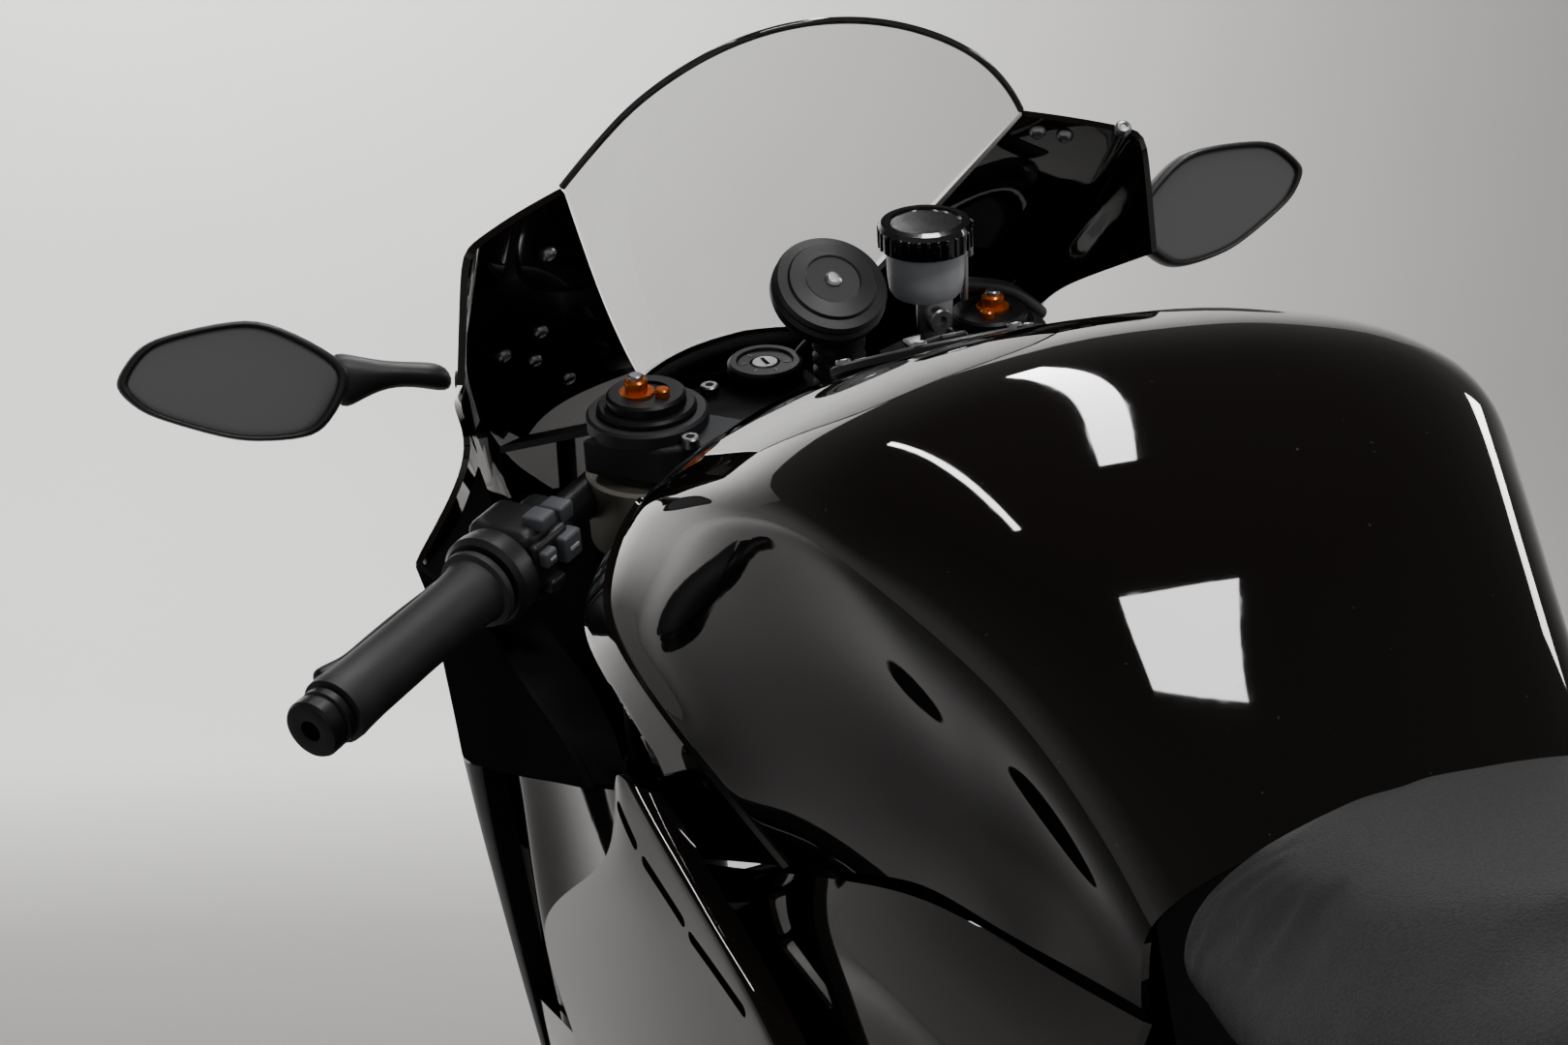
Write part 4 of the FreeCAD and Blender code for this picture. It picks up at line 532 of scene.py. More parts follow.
# %% Helpers for cages
def cage(name, *grids, creases=(), seams=(), levels=3, wall=0.0035):
    """A smooth shell through rows of points. Creases are (run of points, weight), seams are runs of points."""
    index, faces = {}, []
    for rows in grids:
        for row, after in zip(rows, rows[1:]):
            for a, b, c, d in zip(row, after, after[1:], row[1:]):
                corners = [index.setdefault(p, len(index)) for p in (a, b, c, d)]
                faces.append(list(dict.fromkeys(corners)))
    piece = piece_from(name, list(index), faces)
    sharp = piece.data.attributes.new("crease_edge", "FLOAT", "EDGE")
    spots = list(index)
    weights = {frozenset(pair): weight for run, weight in creases for pair in zip(run, run[1:])}
    cuts = {frozenset(pair) for run in seams for pair in zip(run, run[1:])}
    for edge in piece.data.edges:
        ends = frozenset(spots[i] for i in edge.vertices)
        sharp.data[edge.index].value = weights.get(ends, 0.0)
        edge.use_seam = ends in cuts
    add_modifier(piece, "MIRROR", use_axis=(False, True, False), use_clip=True, merge_threshold=0.0005)
    add_modifier(piece, "SUBSURF", levels=levels, render_levels=levels)
    apply_modifiers(piece)
    if cuts:
        groove(piece)
    outward(piece)
    if wall:
        add_modifier(piece, "SOLIDIFY", thickness=wall, offset=-1)
        apply_modifiers(piece)
    return smooth(piece, 40)


def groove(piece, width=0.0011, depth=0.0022):
    """Sinks a panel gap along the marked seams: bevels them, then pushes the middle line in."""
    pick(piece)
    bpy.ops.object.mode_set(mode="EDIT")
    bpy.ops.mesh.select_mode(type="EDGE")
    bpy.ops.mesh.select_all(action="DESELECT")
    bpy.ops.object.mode_set(mode="OBJECT")
    for edge in piece.data.edges:
        edge.select = edge.use_seam
    bpy.ops.object.mode_set(mode="EDIT")
    bpy.ops.mesh.bevel(offset=width, segments=2, profile=0.5)
    bpy.ops.mesh.select_mode(type="VERT")
    bpy.ops.mesh.select_less()
    bpy.ops.transform.shrink_fatten(value=-depth)
    bpy.ops.object.mode_set(mode="OBJECT")


def column(rows, c, start=0, end=None):
    """The run of points down one column of a grid."""
    return [row[c] for row in rows[start:end]]


def rim_of(rows):
    """All four edges of a grid, as one run."""
    return rows[0] + column(rows, -1) + rows[-1][::-1] + column(rows, 0)[::-1]


# %% [markdown]
# ## The tank
# The tank is what this picture is about: a broad crown with two faint creases down its middle, shoulders that
# overhang hollows for the knees, and a separate leaf-shaped edge panel at the front of each side. Rows run from
# that front edge back to the seat, columns from the middle down to the joint with the side cover.

# %% Tank shell
TANK_ROWS = [
    [(985, 0, 930), (982, 60, 926), (975, 100, 914), (962, 148, 892), (950, 184, 870), (916, 186, 846),
     (884, 184, 826), (880, 177, 800), (894, 172, 768)],
    [(996, 0, 967), (992, 60, 963), (985, 100, 951), (975, 148, 928), (966, 195, 888), (932, 196, 860),
     (891, 192, 838), (886, 185, 806), (902, 179, 770)],
    [(958, 0, 971), (956, 61, 967), (950, 108, 955), (940, 163, 931), (921, 190, 900), (897, 192, 872),
     (852, 184, 840), (827, 170, 807), (813, 155, 777)],
    [(900, 0, 976), (900, 64, 971), (898, 122, 959), (890, 170, 937), (872, 180, 899), (845, 174, 864),
     (822, 166, 834), (806, 160, 806), (790, 150, 779)],
    [(815, 0, 983), (815, 66, 977), (813, 128, 965), (808, 167, 941), (798, 166, 903), (785, 153, 868),
     (772, 147, 838), (762, 147, 808), (752, 141, 782)],
    [(765, 0, 980), (765, 65, 974), (764, 126, 961), (760, 160, 937), (752, 153, 902), (742, 138, 868),
     (734, 134, 838), (728, 136, 809), (720, 132, 784)],
    [(720, 0, 970), (720, 64, 964), (719, 121, 953), (717, 152, 927), (712, 141, 892), (706, 127, 856),
     (702, 123, 828), (698, 126, 802), (694, 126, 779)],
    [(680, 0, 944), (680, 60, 939), (680, 108, 928), (679, 139, 902), (677, 128, 866), (674, 117, 834),
     (672, 115, 812), (670, 119, 792), (668, 121, 773)],
    [(640, 0, 903), (640, 55, 898), (640, 94, 888), (642, 118, 866), (644, 112, 838), (644, 105, 814),
     (643, 106, 796), (642, 110, 782), (641, 114, 767)],
    [(610, 0, 855), (610, 50, 851), (610, 84, 843), (612, 104, 826), (616, 104, 806), (617, 102, 793),
     (617, 103, 782), (617, 105, 772), (616, 108, 762)],
    [(582, 0, 806), (582, 46, 803), (584, 76, 797), (588, 94, 788), (592, 98, 780), (594, 99, 774),
     (595, 100, 768), (595, 101, 762), (595, 102, 756)],
]
tank = cage(
    "tank_shell", TANK_ROWS,
    creases=[(TANK_ROWS[1], 0.75), (TANK_ROWS[2][4:], 0.9), (column(TANK_ROWS, 8), 1.0), (TANK_ROWS[10], 1.0),
             (column(TANK_ROWS, 1, 3, 9), 0.35), (column(TANK_ROWS, 3, 2, 8), 0.3)],
    seams=[TANK_ROWS[2][3:]],
)
CAP_TOP, CAP_TILT, CAP_RADIUS = Vector((940, 0, 972)), math.radians(4.5), 42
cap_place = Matrix.Translation(CAP_TOP * MM) @ Matrix.Rotation(CAP_TILT, 4, "Y")
bpy.ops.mesh.primitive_cylinder_add(vertices=96, radius=(CAP_RADIUS + 2) * MM, depth=0.06)
punch = bpy.context.object
punch.data.transform(cap_place)
add_modifier(tank, "BOOLEAN", operation="DIFFERENCE", object=punch, solver="EXACT")
apply_modifiers(tank)
bpy.data.objects.remove(punch)
smooth(tank, 40)
settle(tank, BIKE, "chassis", BLACK_PAINT, ["fuel_tank"])
print("tank faces", count_of(tank))

# %% [markdown]
# ## Side covers and fairings
# Under the tank a cover hides the frame: a blade that starts as a point where tank and fairing meet. The fairing
# itself is three grids that share points, the long lower side, the blade that rises to the tip beside the tank,
# and the front part ahead of the air opening. The opening is not a hole into nothing: a second skin lies a
# finger's width further in, with a rib in it and a satin trim along its front.

# %% Side covers
COVER_ROWS = [
    [(908, 181, 768), (907, 183, 766), (905, 184, 764), (903, 184, 761)],
    [(870, 171, 770), (868, 177, 762), (862, 182, 752), (856, 183, 742)],
    [(813, 156, 774), (813, 166, 758), (812, 174, 738), (810, 178, 716)],
    [(760, 146, 779), (760, 157, 758), (760, 167, 725), (760, 171, 682)],
    [(705, 131, 780), (705, 148, 753), (704, 161, 710), (702, 165, 645)],
    [(640, 115, 762), (640, 136, 733), (640, 152, 690), (640, 156, 620)],
    [(590, 104, 753), (590, 124, 723), (588, 138, 680), (582, 142, 625)],
]
covers = cage("side_cover_shells", COVER_ROWS, creases=[(rim_of(COVER_ROWS), 1.0)], wall=0.004)
settle(covers, BIKE, "chassis", BLACK_PAINT, ["side_covers"])

# %% Side fairings
LOWER_ROWS = [
    [(702, 182, 640), (800, 193, 640), (900, 202, 640), (1000, 209, 640), (1090, 213, 645), (1200, 213, 640),
     (1250, 208, 640), (1310, 185, 640)],
    [(688, 179, 560), (790, 195, 560), (890, 206, 560), (990, 214, 560), (1080, 217, 560), (1190, 211, 560),
     (1235, 204, 570), (1285, 186, 590)],
    [(684, 178, 480), (785, 192, 480), (880, 204, 480), (975, 211, 480), (1060, 213, 480), (1150, 208, 480),
     (1190, 203, 490), (1225, 195, 505)],
    [(690, 176, 400), (780, 180, 400), (870, 184, 400), (950, 189, 400), (1030, 193, 400), (1090, 193, 400),
     (1125, 192, 400), (1150, 191, 402)],
]
BLADE_ROWS = [
    LOWER_ROWS[0][:5],
    [(735, 187, 690), (815, 195, 690), (905, 204, 695), (1000, 211, 690), (1104, 216, 680)],
    [(775, 192, 740), (835, 198, 738), (905, 206, 735), (990, 212, 732), (1102, 217, 708)],
    [(815, 197, 770), (850, 202, 767), (884, 207, 763), (925, 211, 760), (1000, 214, 745)],
    [(845, 202, 795), (862, 205, 792), (880, 208, 790), (892, 209, 785), (903, 210, 776)],
    [(872, 204, 816), (876, 205, 818), (880, 206, 819), (884, 206, 817), (888, 207, 811)],
]
FRONT_ROWS = [
    LOWER_ROWS[0][5:],
    [(1200, 218, 690), (1255, 212, 695), (1322, 182, 700)],
    [(1195, 222, 740), (1250, 216, 745), (1330, 178, 745)],
    [(1190, 224, 782), (1245, 216, 782), (1328, 172, 778)],
]
rear_edge = column(BLADE_ROWS, 0)[::-1] + column(LOWER_ROWS, 0)[1:]
roll = [[(x - 5, y - 3, z - 3), (x - 7, y - 14, z - 5)] for x, y, z in rear_edge]
FLANGE_ROWS = [[edge] + inner for edge, inner in zip(rear_edge, roll)]
fairings = cage(
    "side_fairing_shells", LOWER_ROWS, BLADE_ROWS, FRONT_ROWS, FLANGE_ROWS,
    creases=[(column(BLADE_ROWS, -1), 0.9), (BLADE_ROWS[-1], 0.6), (column(FRONT_ROWS, 0), 0.9),
             (FRONT_ROWS[-1], 1.0), (LOWER_ROWS[0][4:6], 0.9), (column(FRONT_ROWS, -1), 1.0),
             (column(LOWER_ROWS, -1), 1.0), (LOWER_ROWS[-1], 1.0), (rear_edge, 0.35)],
    wall=0.004,
)
SLOTS = [((884, 803), (872, 789)), ((864, 781), (836, 760)), ((829, 753), (786, 731))]
SLOT_HALF = 3.2


def slot_cutter(start, end):
    """A round-ended bar across the bike, over a line in side view."""
    (x0, z0), (x1, z1) = start, end
    heading = math.atan2(z1 - z0, x1 - x0)
    outline = []
    for centre, first in (((x1, z1), heading - math.pi / 2), ((x0, z0), heading + math.pi / 2)):
        for step in range(9):
            angle = first + math.pi * step / 8
            outline.append((centre[0] + SLOT_HALF * math.cos(angle), centre[1] + SLOT_HALF * math.sin(angle)))
    points = [(x, y, z) for y in (-260, 260) for x, z in outline]
    n = len(outline)
    faces = [tuple(range(n)), tuple(range(2 * n - 1, n - 1, -1))]
    faces += [(i, i + n, (i + 1) % n + n, (i + 1) % n) for i in range(n)]
    return piece_from("slot_cutter", points, faces)


for start, end in SLOTS:
    cutter = outward(slot_cutter(start, end))
    add_modifier(fairings, "BOOLEAN", operation="DIFFERENCE", object=cutter, solver="EXACT")
    apply_modifiers(fairings)
    bpy.data.objects.remove(cutter)
smooth(fairings, 40)
settle(fairings, BIKE, "chassis", BLACK_PAINT, ["side_fairings"])

# %% The second skin inside the air opening, and its satin trim
INNER_ROWS = [
    [(878, 196, 806), (878, 195, 790), (880, 194, 770), (886, 193, 740), (894, 193, 700), (905, 193, 650)],
    [(960, 188, 806), (960, 186, 785), (962, 185, 765), (966, 185, 735), (972, 186, 695), (980, 188, 640)],
    [(1050, 186, 800), (1050, 184, 780), (1052, 183, 760), (1055, 183, 730), (1060, 184, 690), (1066, 187, 630)],
    [(1115, 192, 798), (1115, 190, 778), (1117, 189, 758), (1120, 190, 728), (1124, 192, 688), (1128, 194, 620)],
    [(1146, 208, 796), (1146, 208, 776), (1148, 209, 756), (1150, 211, 726), (1152, 212, 686), (1152, 208, 618)],
    [(1172, 198, 794), (1172, 197, 774), (1173, 196, 754), (1175, 196, 724), (1178, 197, 684), (1178, 198, 618)],
    [(1200, 204, 792), (1200, 204, 772), (1202, 204, 752), (1204, 204, 722), (1206, 204, 682), (1206, 202, 618)],
]
inner_skin = cage("fairing_inner_skins", INNER_ROWS, creases=[(rim_of(INNER_ROWS), 1.0)], wall=0.0025)
settle(inner_skin, BIKE, "chassis", BLACK_PAINT)
TRIM_ROWS = [
    [(1186, 206, 778), (1187, 206, 740), (1190, 205, 700), (1196, 203, 650), (1206, 200, 600)],
    [(1178, 220, 780), (1180, 221, 740), (1184, 219, 700), (1190, 216, 650), (1198, 212, 600)],
    [(1190, 227, 781), (1193, 226, 740), (1197, 223, 700), (1203, 219, 650), (1210, 214, 600)],
    [(1216, 224, 781), (1218, 222, 740), (1220, 218, 700), (1224, 214, 650), (1230, 208, 602)],
]
trim = cage("air_opening_trims", TRIM_ROWS, creases=[(rim_of(TRIM_ROWS), 0.8), (TRIM_ROWS[1], 0.5)], wall=0.003)
settle(trim, BIKE, "chassis", SATIN_PLASTIC)
print("fairing faces", count_of(fairings), "inner", count_of(inner_skin))

# %% Belly pan
BELLY_ROWS = [
    [(1050, 192, 398), (1052, 188, 300), (1055, 150, 215), (1060, 90, 182), (1062, 0, 176)],
    [(980, 190, 398), (980, 192, 290), (980, 158, 190), (980, 90, 158), (980, 0, 152)],
    [(900, 183, 398), (900, 190, 280), (900, 155, 172), (900, 85, 148), (900, 0, 143)],
    [(800, 179, 398), (800, 184, 285), (800, 150, 182), (800, 85, 156), (800, 0, 150)],
    [(716, 176, 380), (716, 176, 290), (712, 142, 196), (708, 85, 166), (706, 0, 158)],
]
belly = cage("belly_shell", BELLY_ROWS, creases=[(rim_of(BELLY_ROWS)[:-5], 1.0)], wall=0.004)
settle(belly, BIKE, "chassis", BLACK_PAINT, ["belly_pan"])

# %% [markdown]
# ## Upper cowl and screen
# From the saddle one looks into the cowl: a wing each side of the screen, cut back in a notch so that the levers
# pass at full lock, and below the notch a side that runs back to the tip of the fairing. The low part of that side
# gets a black plastic that reflects nothing, partly the matt inner panel and partly painted shade, because there the
# paint would only mirror the pale wall. A lining closes the side against the forks, and a bulkhead closes the nose
# behind the lamps, so that no light shows through; both are in the same black. The screen is a clear bubble of 3 mm
# with a polished rim that looks dark.

# %% Cowl shell
COWL_ROWS = [
    [(1485, 4, 884), (1485, 20, 880), (1485, 32, 874), (1485, 38, 868), (1485, 42, 862), (1485, 50, 852),
     (1485, 48, 838), (1485, 42, 822)],
    [(1425, 6, 922), (1425, 52, 918), (1425, 80, 900), (1425, 92, 885), (1425, 100, 872), (1425, 122, 855),
     (1425, 120, 828), (1425, 110, 798)],
    [(1330, 50, 965), (1330, 120, 958), (1330, 150, 935), (1330, 160, 912), (1330, 165, 893), (1330, 192, 868),
     (1330, 190, 832), (1330, 180, 790)],
    [(1230, 88, 1016), (1230, 150, 1012), (1230, 182, 996), (1232, 188, 978), (1246, 178, 948),
     (1236, 228, 893), (1232, 224, 845), (1230, 217, 788)],
]
WING_ROWS = [
    COWL_ROWS[-1][:4],
    [(1160, 111, 1051), (1158, 158, 1043), (1158, 192, 1024), (1160, 197, 987)],
    [(1092, 133, 1085), (1084, 164, 1075), (1069, 195, 1061), (1100, 205, 994)],
]
SKIRT_ROWS = [
    COWL_ROWS[-1][5:],
    [(1190, 222, 886), (1186, 230, 845), (1182, 232, 788)],
    [(1130, 211, 868), (1122, 222, 836), (1112, 231, 793)],
    [(1096, 212, 862), (1088, 221, 832), (1078, 228, 795)],
    [(1040, 210, 836), (1036, 216, 819), (1030, 221, 797)],
    [(984, 209, 826), (981, 213, 815), (978, 216, 802)],
    [(934, 210, 806), (933, 210, 805), (932, 209, 804)],
]
cowl = cage(
    "cowl_shell", COWL_ROWS, WING_ROWS, SKIRT_ROWS,
    creases=[(column(COWL_ROWS, 0) + column(WING_ROWS, 0)[1:], 1.0), (WING_ROWS[-1], 0.9), (COWL_ROWS[0], 1.0),
             (column(WING_ROWS, -1), 0.9), (COWL_ROWS[-1][3:6], 0.9), (column(SKIRT_ROWS, 0), 0.8),
             (column(COWL_ROWS, -1) + column(SKIRT_ROWS, -1)[1:], 1.0), (column(COWL_ROWS, 2), 0.5),
             (column(COWL_ROWS, 5), 0.45), (SKIRT_ROWS[-1], 0.6), (column(WING_ROWS, 2), 0.4)],
    wall=0.004,
)
settle(cowl, BIKE, "chassis", BLACK_PAINT, ["upper_cowl"])
# Painted shade: the cowl's faces behind and below these limits take the black that reflects nothing.
cowl.data.materials.append(SHADE_BLACK)
upright, SHADED_BEHIND, SHADED_BELOW = BIKE.inverted(), 1232, 896
for face in cowl.data.polygons:
    spot = upright @ face.center / MM
    face.material_index = int(spot.x < SHADED_BEHIND and spot.z < SHADED_BELOW)
print("cowl faces", count_of(cowl))

# %% Lining between the cowl's sides and the forks
LINING_ROWS = [
    [(1238, 222, 888), (1242, 196, 905), (1250, 176, 940)],
    [(1186, 220, 878), (1184, 196, 868), (1190, 172, 850)],
    [(1128, 208, 862), (1124, 190, 850), (1126, 168, 830)],
    [(1094, 208, 855), (1092, 190, 842), (1096, 168, 824)],
    [(1040, 207, 829), (1038, 192, 820), (1040, 172, 806)],
    [(984, 206, 820), (984, 195, 812), (985, 182, 804)],
    [(940, 206, 803), (940, 198, 800), (940, 190, 797)],
]
lining = cage("cowl_linings", LINING_ROWS, creases=[(rim_of(LINING_ROWS), 1.0)], wall=0.0025)
settle(lining, BIKE, "chassis", SHADE_BLACK)

# %% Bulkhead behind the lamps
BULKHEAD_ROWS = [
    [(1316, 0, 898), (1316, 60, 898), (1316, 120, 894), (1318, 156, 884), (1320, 180, 862)],
    [(1312, 0, 850), (1312, 60, 850), (1312, 120, 848), (1316, 156, 842), (1320, 184, 834)],
    [(1322, 0, 790), (1322, 60, 792), (1322, 120, 794), (1322, 156, 796), (1322, 180, 798)],
    [(1330, 0, 740), (1330, 60, 740), (1330, 120, 740), (1328, 160, 742), (1318, 186, 744)],
    [(1338, 0, 694), (1338, 60, 694), (1338, 120, 694), (1332, 160, 696), (1316, 184, 698)],
]
bulkhead = cage("nose_bulkhead", BULKHEAD_ROWS, creases=[(rim_of(BULKHEAD_ROWS), 1.0)], levels=2, wall=0.003)
settle(bulkhead, BIKE, "chassis", SHADE_BLACK)

# %% Screen and its rim
SCREEN_ROWS = [
    [(1045, 0, 1148), (1047, 46, 1142), (1056, 90, 1124), (1072, 119, 1101), (1091, 132, 1087)],
    [(1130, 0, 1118), (1131, 42, 1112), (1136, 79, 1096), (1146, 104, 1073), (1156, 111, 1055)],
    [(1230, 0, 1069), (1230, 34, 1065), (1230, 62, 1053), (1230, 81, 1035), (1230, 88, 1019)],
    [(1330, 0, 1005), (1330, 20, 1002), (1330, 36, 993), (1330, 46, 980), (1330, 50, 968)],
    [(1420, 0, 941), (1420, 8, 940), (1420, 13, 937), (1420, 15, 934), (1420, 16, 931)],
]
screen = cage(
    "screen_bubble", SCREEN_ROWS, levels=3, wall=0.003,
    creases=[(SCREEN_ROWS[0], 0.9), (column(SCREEN_ROWS, -1), 0.9), (SCREEN_ROWS[-1], 0.9)],
)
settle(screen, BIKE, "chassis", SCREEN_CLEAR, ["windscreen"])


def bead(name, route, radius, sides=3):
    """A round bead along a smooth line through points in millimetres."""
    curve = bpy.data.curves.new(name, "CURVE")
    curve.dimensions = "3D"
    spline = curve.splines.new("NURBS")
    spline.points.add(len(route) - 1)
    for point, spot in zip(spline.points, route):
        point.co = (*(c * MM for c in spot), 1)
    spline.order_u = 3
    spline.use_endpoint_u = True
    curve.bevel_depth = radius * MM
    curve.bevel_resolution = sides
    curve.resolution_u = 12
    curve.use_fill_caps = True
    piece = bpy.data.objects.new(name, curve)
    bpy.context.scene.collection.objects.link(piece)
    pick(piece)
    bpy.ops.object.convert(target="MESH")
    return smooth(outward(bpy.context.object), 60)


def both_sides(route):
    """A route over the middle, from its left half that starts on the middle plane."""
    return [(x, -y, z) for x, y, z in route[:0:-1]] + route


rim_route = [(x, y, z - 1.5) for x, y, z in SCREEN_ROWS[0]]
rim = bead("screen_rim", both_sides(rim_route), 2.0)
settle(rim, BIKE, "chassis", SCREEN_RIM)

# %% [markdown]
# ## What stands on the steering
# The rider looks straight down on the top clamp, so it gets its bolts, the stepped fork caps with their orange
# adjusters, the lock and the round mount. Each is small, hard and mostly round: a profile is spun about its own
# axis, or a block gets rounded edges. Places are in the steering's own frame, in millimetres.

# %% Helpers for small hard parts
FORK_Y, CLAMP_LOW, CLAMP_TOP, FORK_TOP = 105, 700, 722, 729
BAR_SWEEP, BAR_DROOP = math.radians(36), math.radians(1.5)
BAR_WAY = Vector((-math.sin(BAR_SWEEP) * math.cos(BAR_DROOP), math.cos(BAR_SWEEP) * math.cos(BAR_DROOP),
                  -math.sin(BAR_DROOP)))
BAR_START = Vector((FORK_OFFSET + 33, FORK_Y, 684))
BAR_END, GRIP_LENGTH = 268, 122
GRIP_START = BAR_END - 1 - GRIP_LENGTH
GRIP_END_REACH = BAR_END - 58


def frame_at(spot, way, roll=(0, 0, 1)):
    """A place whose Z looks along way and whose X is as near to roll as it can be."""
    z = Vector(way).normalized()
    x = (Vector(roll) - z * z.dot(Vector(roll)))
    x = x.normalized() if x.length > 1e-4 else z.orthogonal().normalized()
    y = z.cross(x)
    turn = Matrix((x, y, z)).transposed().to_4x4()
    return Matrix.Translation(Vector(spot) * MM) @ turn


def spun(name, profile, place, steps=48):
    """A body turned about its own Z from (radius, height) points in millimetres."""
    mesh = bpy.data.meshes.new(name)
    edges = [(i, i + 1) for i in range(len(profile) - 1)]
    mesh.from_pydata([(r * MM, 0, z * MM) for r, z in profile], edges, [])
    piece = bpy.data.objects.new(name, mesh)
    bpy.context.scene.collection.objects.link(piece)
    add_modifier(piece, "SCREW", steps=steps, render_steps=steps, use_merge_vertices=True, merge_threshold=1e-6)
    apply_modifiers(piece)
    piece.data.transform(place)
    return smooth(outward(piece), 30)


def block(name, size, place, rounding=1.5, segments=3):
    """A box with rounded edges, centred on its place; sizes in millimetres."""
    bpy.ops.mesh.primitive_cube_add(size=1)
    piece = bpy.context.object
    piece.name = name
    piece.data.transform(Matrix.Diagonal((*(s * MM for s in size), 1)))
    add_modifier(piece, "BEVEL", width=rounding * MM, segments=segments)
    apply_modifiers(piece)
    piece.data.transform(place)
    return smooth(piece, 40)


def joined(name, pieces):
    """Several meshes as one object."""
    clear_selection()
    for piece in pieces:
        piece.select_set(True)
    bpy.context.view_layer.objects.active = pieces[0]
    bpy.ops.object.join()
    piece = bpy.context.object
    piece.name = name
    return piece


def mirrored_pair(name, pieces):
    """The pieces and their copies on the other side of the middle plane."""
    piece = joined(name, pieces)
    add_modifier(piece, "MIRROR", use_axis=(False, True, False))
    return apply_modifiers(piece)


def at(x, y, z, way=(0, 0, 1), roll=(1, 0, 0)):
    return frame_at((x, y, z), way, roll)


def on_bar(distance, ahead=0, above=0):
    """A place on the left bar: Z along the bar, X up, Y towards the rider."""
    up = Vector((0, 0, 1))
    rider = BAR_WAY.cross(up).normalized() * -1
    spot = BAR_START + BAR_WAY * distance - rider * ahead + up * above
    return frame_at(spot, BAR_WAY, up)


# %% Top clamp
CLAMP_HALF = [(62.8, 113), (62.8, 83), (46.8, 40), (46.8, 0), (-30, 0), (-30, 34), (-5.2, 113), (28.8, 144)]
outline = CLAMP_HALF + [(x, -y) for x, y in CLAMP_HALF[::-1] if y]
count = len(outline)
points = [(x, y, z) for z in (CLAMP_LOW, CLAMP_TOP) for x, y in outline]
faces = [tuple(range(count))[::-1], tuple(range(count, 2 * count))]
faces += [(i, (i + 1) % count, (i + 1) % count + count, i + count) for i in range(count)]
clamp = outward(piece_from("clamp_plate", points, faces))
pick(clamp)
add_modifier(clamp, "BEVEL", width=3 * MM, segments=4, limit_method="ANGLE", angle_limit=math.radians(20))
apply_modifiers(clamp)
bosses = []
for side in (1, -1):
    ring = [(27.2, 0), (33, 0), (33, 7), (31.5, 8.5), (27.2, 8.5), (27.2, 0)]
    bosses.append(spun("fork_boss", ring, at(FORK_OFFSET, side * FORK_Y, CLAMP_TOP - 1)))
stem_nut = [(0, 9), (11, 9), (13, 8), (13, 5), (17, 5), (19, 3.5), (19, 0), (0, 0)]
bosses.append(spun("stem_nut", stem_nut, at(0, 0, CLAMP_TOP - 1), steps=36))
clamp = joined("top_clamp", [clamp, *bosses])
settle(clamp, STEER, "steering", CLAMP_GREY, ["upper_clamp"])

BOLT_HEAD = [(0, 3.2), (2.1, 3.2), (2.4, 5.6), (4.2, 5.6), (5.0, 4.8), (5.0, 0), (0, 0)]
CLAMP_BOLTS = [(-8, 96), (44, 62), (-16, 27), (8, -30), (-8, -96)]
bolts = [spun("clamp_bolt", BOLT_HEAD, at(x, y, CLAMP_TOP - 0.5), steps=24) for x, y in CLAMP_BOLTS]
bolts = joined("clamp_bolts", bolts)
settle(bolts, STEER, "steering", STEEL)
print("clamp faces", count_of(clamp), "bolts", len(CLAMP_BOLTS))

# %% [markdown]
# ## Fork caps
# Each fork leg is closed by a stepped cap, and the two orange knobs on it set the spring and the damping. A step is
# only a pair of points in the profile, so a turned part costs little to make rich.

# %% Fork caps and adjusters
CAP_STEPS = [(0, 10), (13, 10), (13, 11.5), (20, 11.5), (21.5, 10), (21.5, 5), (25.5, 5), (26.8, 3.6), (26.8, 0),
             (0, 0)]
SPRING_KNOB = [(0, 9), (5.2, 9), (6.2, 8), (6.2, 2), (9.5, 2), (9.5, 0), (0, 0)]
DAMPING_KNOB = [(0, 6), (3.2, 6), (4, 5.2), (4, 0), (0, 0)]
KNOB_SCREW = [(0, 3), (3.4, 3), (4, 2.4), (4, 0), (0, 0)]
caps, rings, screws = [], [], []
for side in (1, -1):
    outer, inner = side * (FORK_Y + 4), side * (FORK_Y - 6)
    caps.append(spun("fork_cap", CAP_STEPS, at(FORK_OFFSET, side * FORK_Y, FORK_TOP - 0.6)))
    rings.append(spun("preload_ring", SPRING_KNOB, at(FORK_OFFSET + 3, outer, FORK_TOP + 9), steps=24))
    rings.append(spun("damping_ring", DAMPING_KNOB, at(FORK_OFFSET - 9, inner, FORK_TOP + 9), steps=20))
    screws.append(spun("adjuster", KNOB_SCREW, at(FORK_OFFSET + 3, outer, FORK_TOP + 17.6), steps=20))
settle(joined("fork_caps", caps), STEER, "steering", BLACK_METAL)
settle(joined("fork_adjusters", rings), STEER, "steering", ORANGE_ANODISED)
settle(joined("adjuster_screws", screws), STEER, "steering", SILVER)
print("fork caps", len(caps), "adjusters", len(rings))

# %% [markdown]
# ## Clip-on bars
# A clip-on is a ring that grips the fork tube, with a boss for the bar and two ears for its pinch bolts. It is made
# on the left only: a Mirror modifier makes the right one, and then both are turned with the steering.

# %% Clip-on bars
clip = [(27.2, 0), (35.5, 0), (36, 1.5), (36, 40), (34.5, 42), (27.2, 42), (27.2, 0)]
clips = [spun("clip_ring", clip, at(FORK_OFFSET, FORK_Y, 654.2))]
clips.append(block("clip_boss", (34, 30, 34), on_bar(-2), 5))
clips.append(block("clip_ears", (26, 16, 16), at(FORK_OFFSET + 38, FORK_Y - 14, 676), 2))
settle(mirrored_pair("clip_ons", clips), STEER, "steering", PALE_ALLOY, ["handlebars"])
tube = [(0, 0), (11, 0), (11, BAR_END), (0, BAR_END)]
settle(mirrored_pair("bar_tubes", [spun("bar_tube", tube, on_bar(0), 32)]), STEER, "steering", BLACK_METAL)
print("bar length", BAR_END)

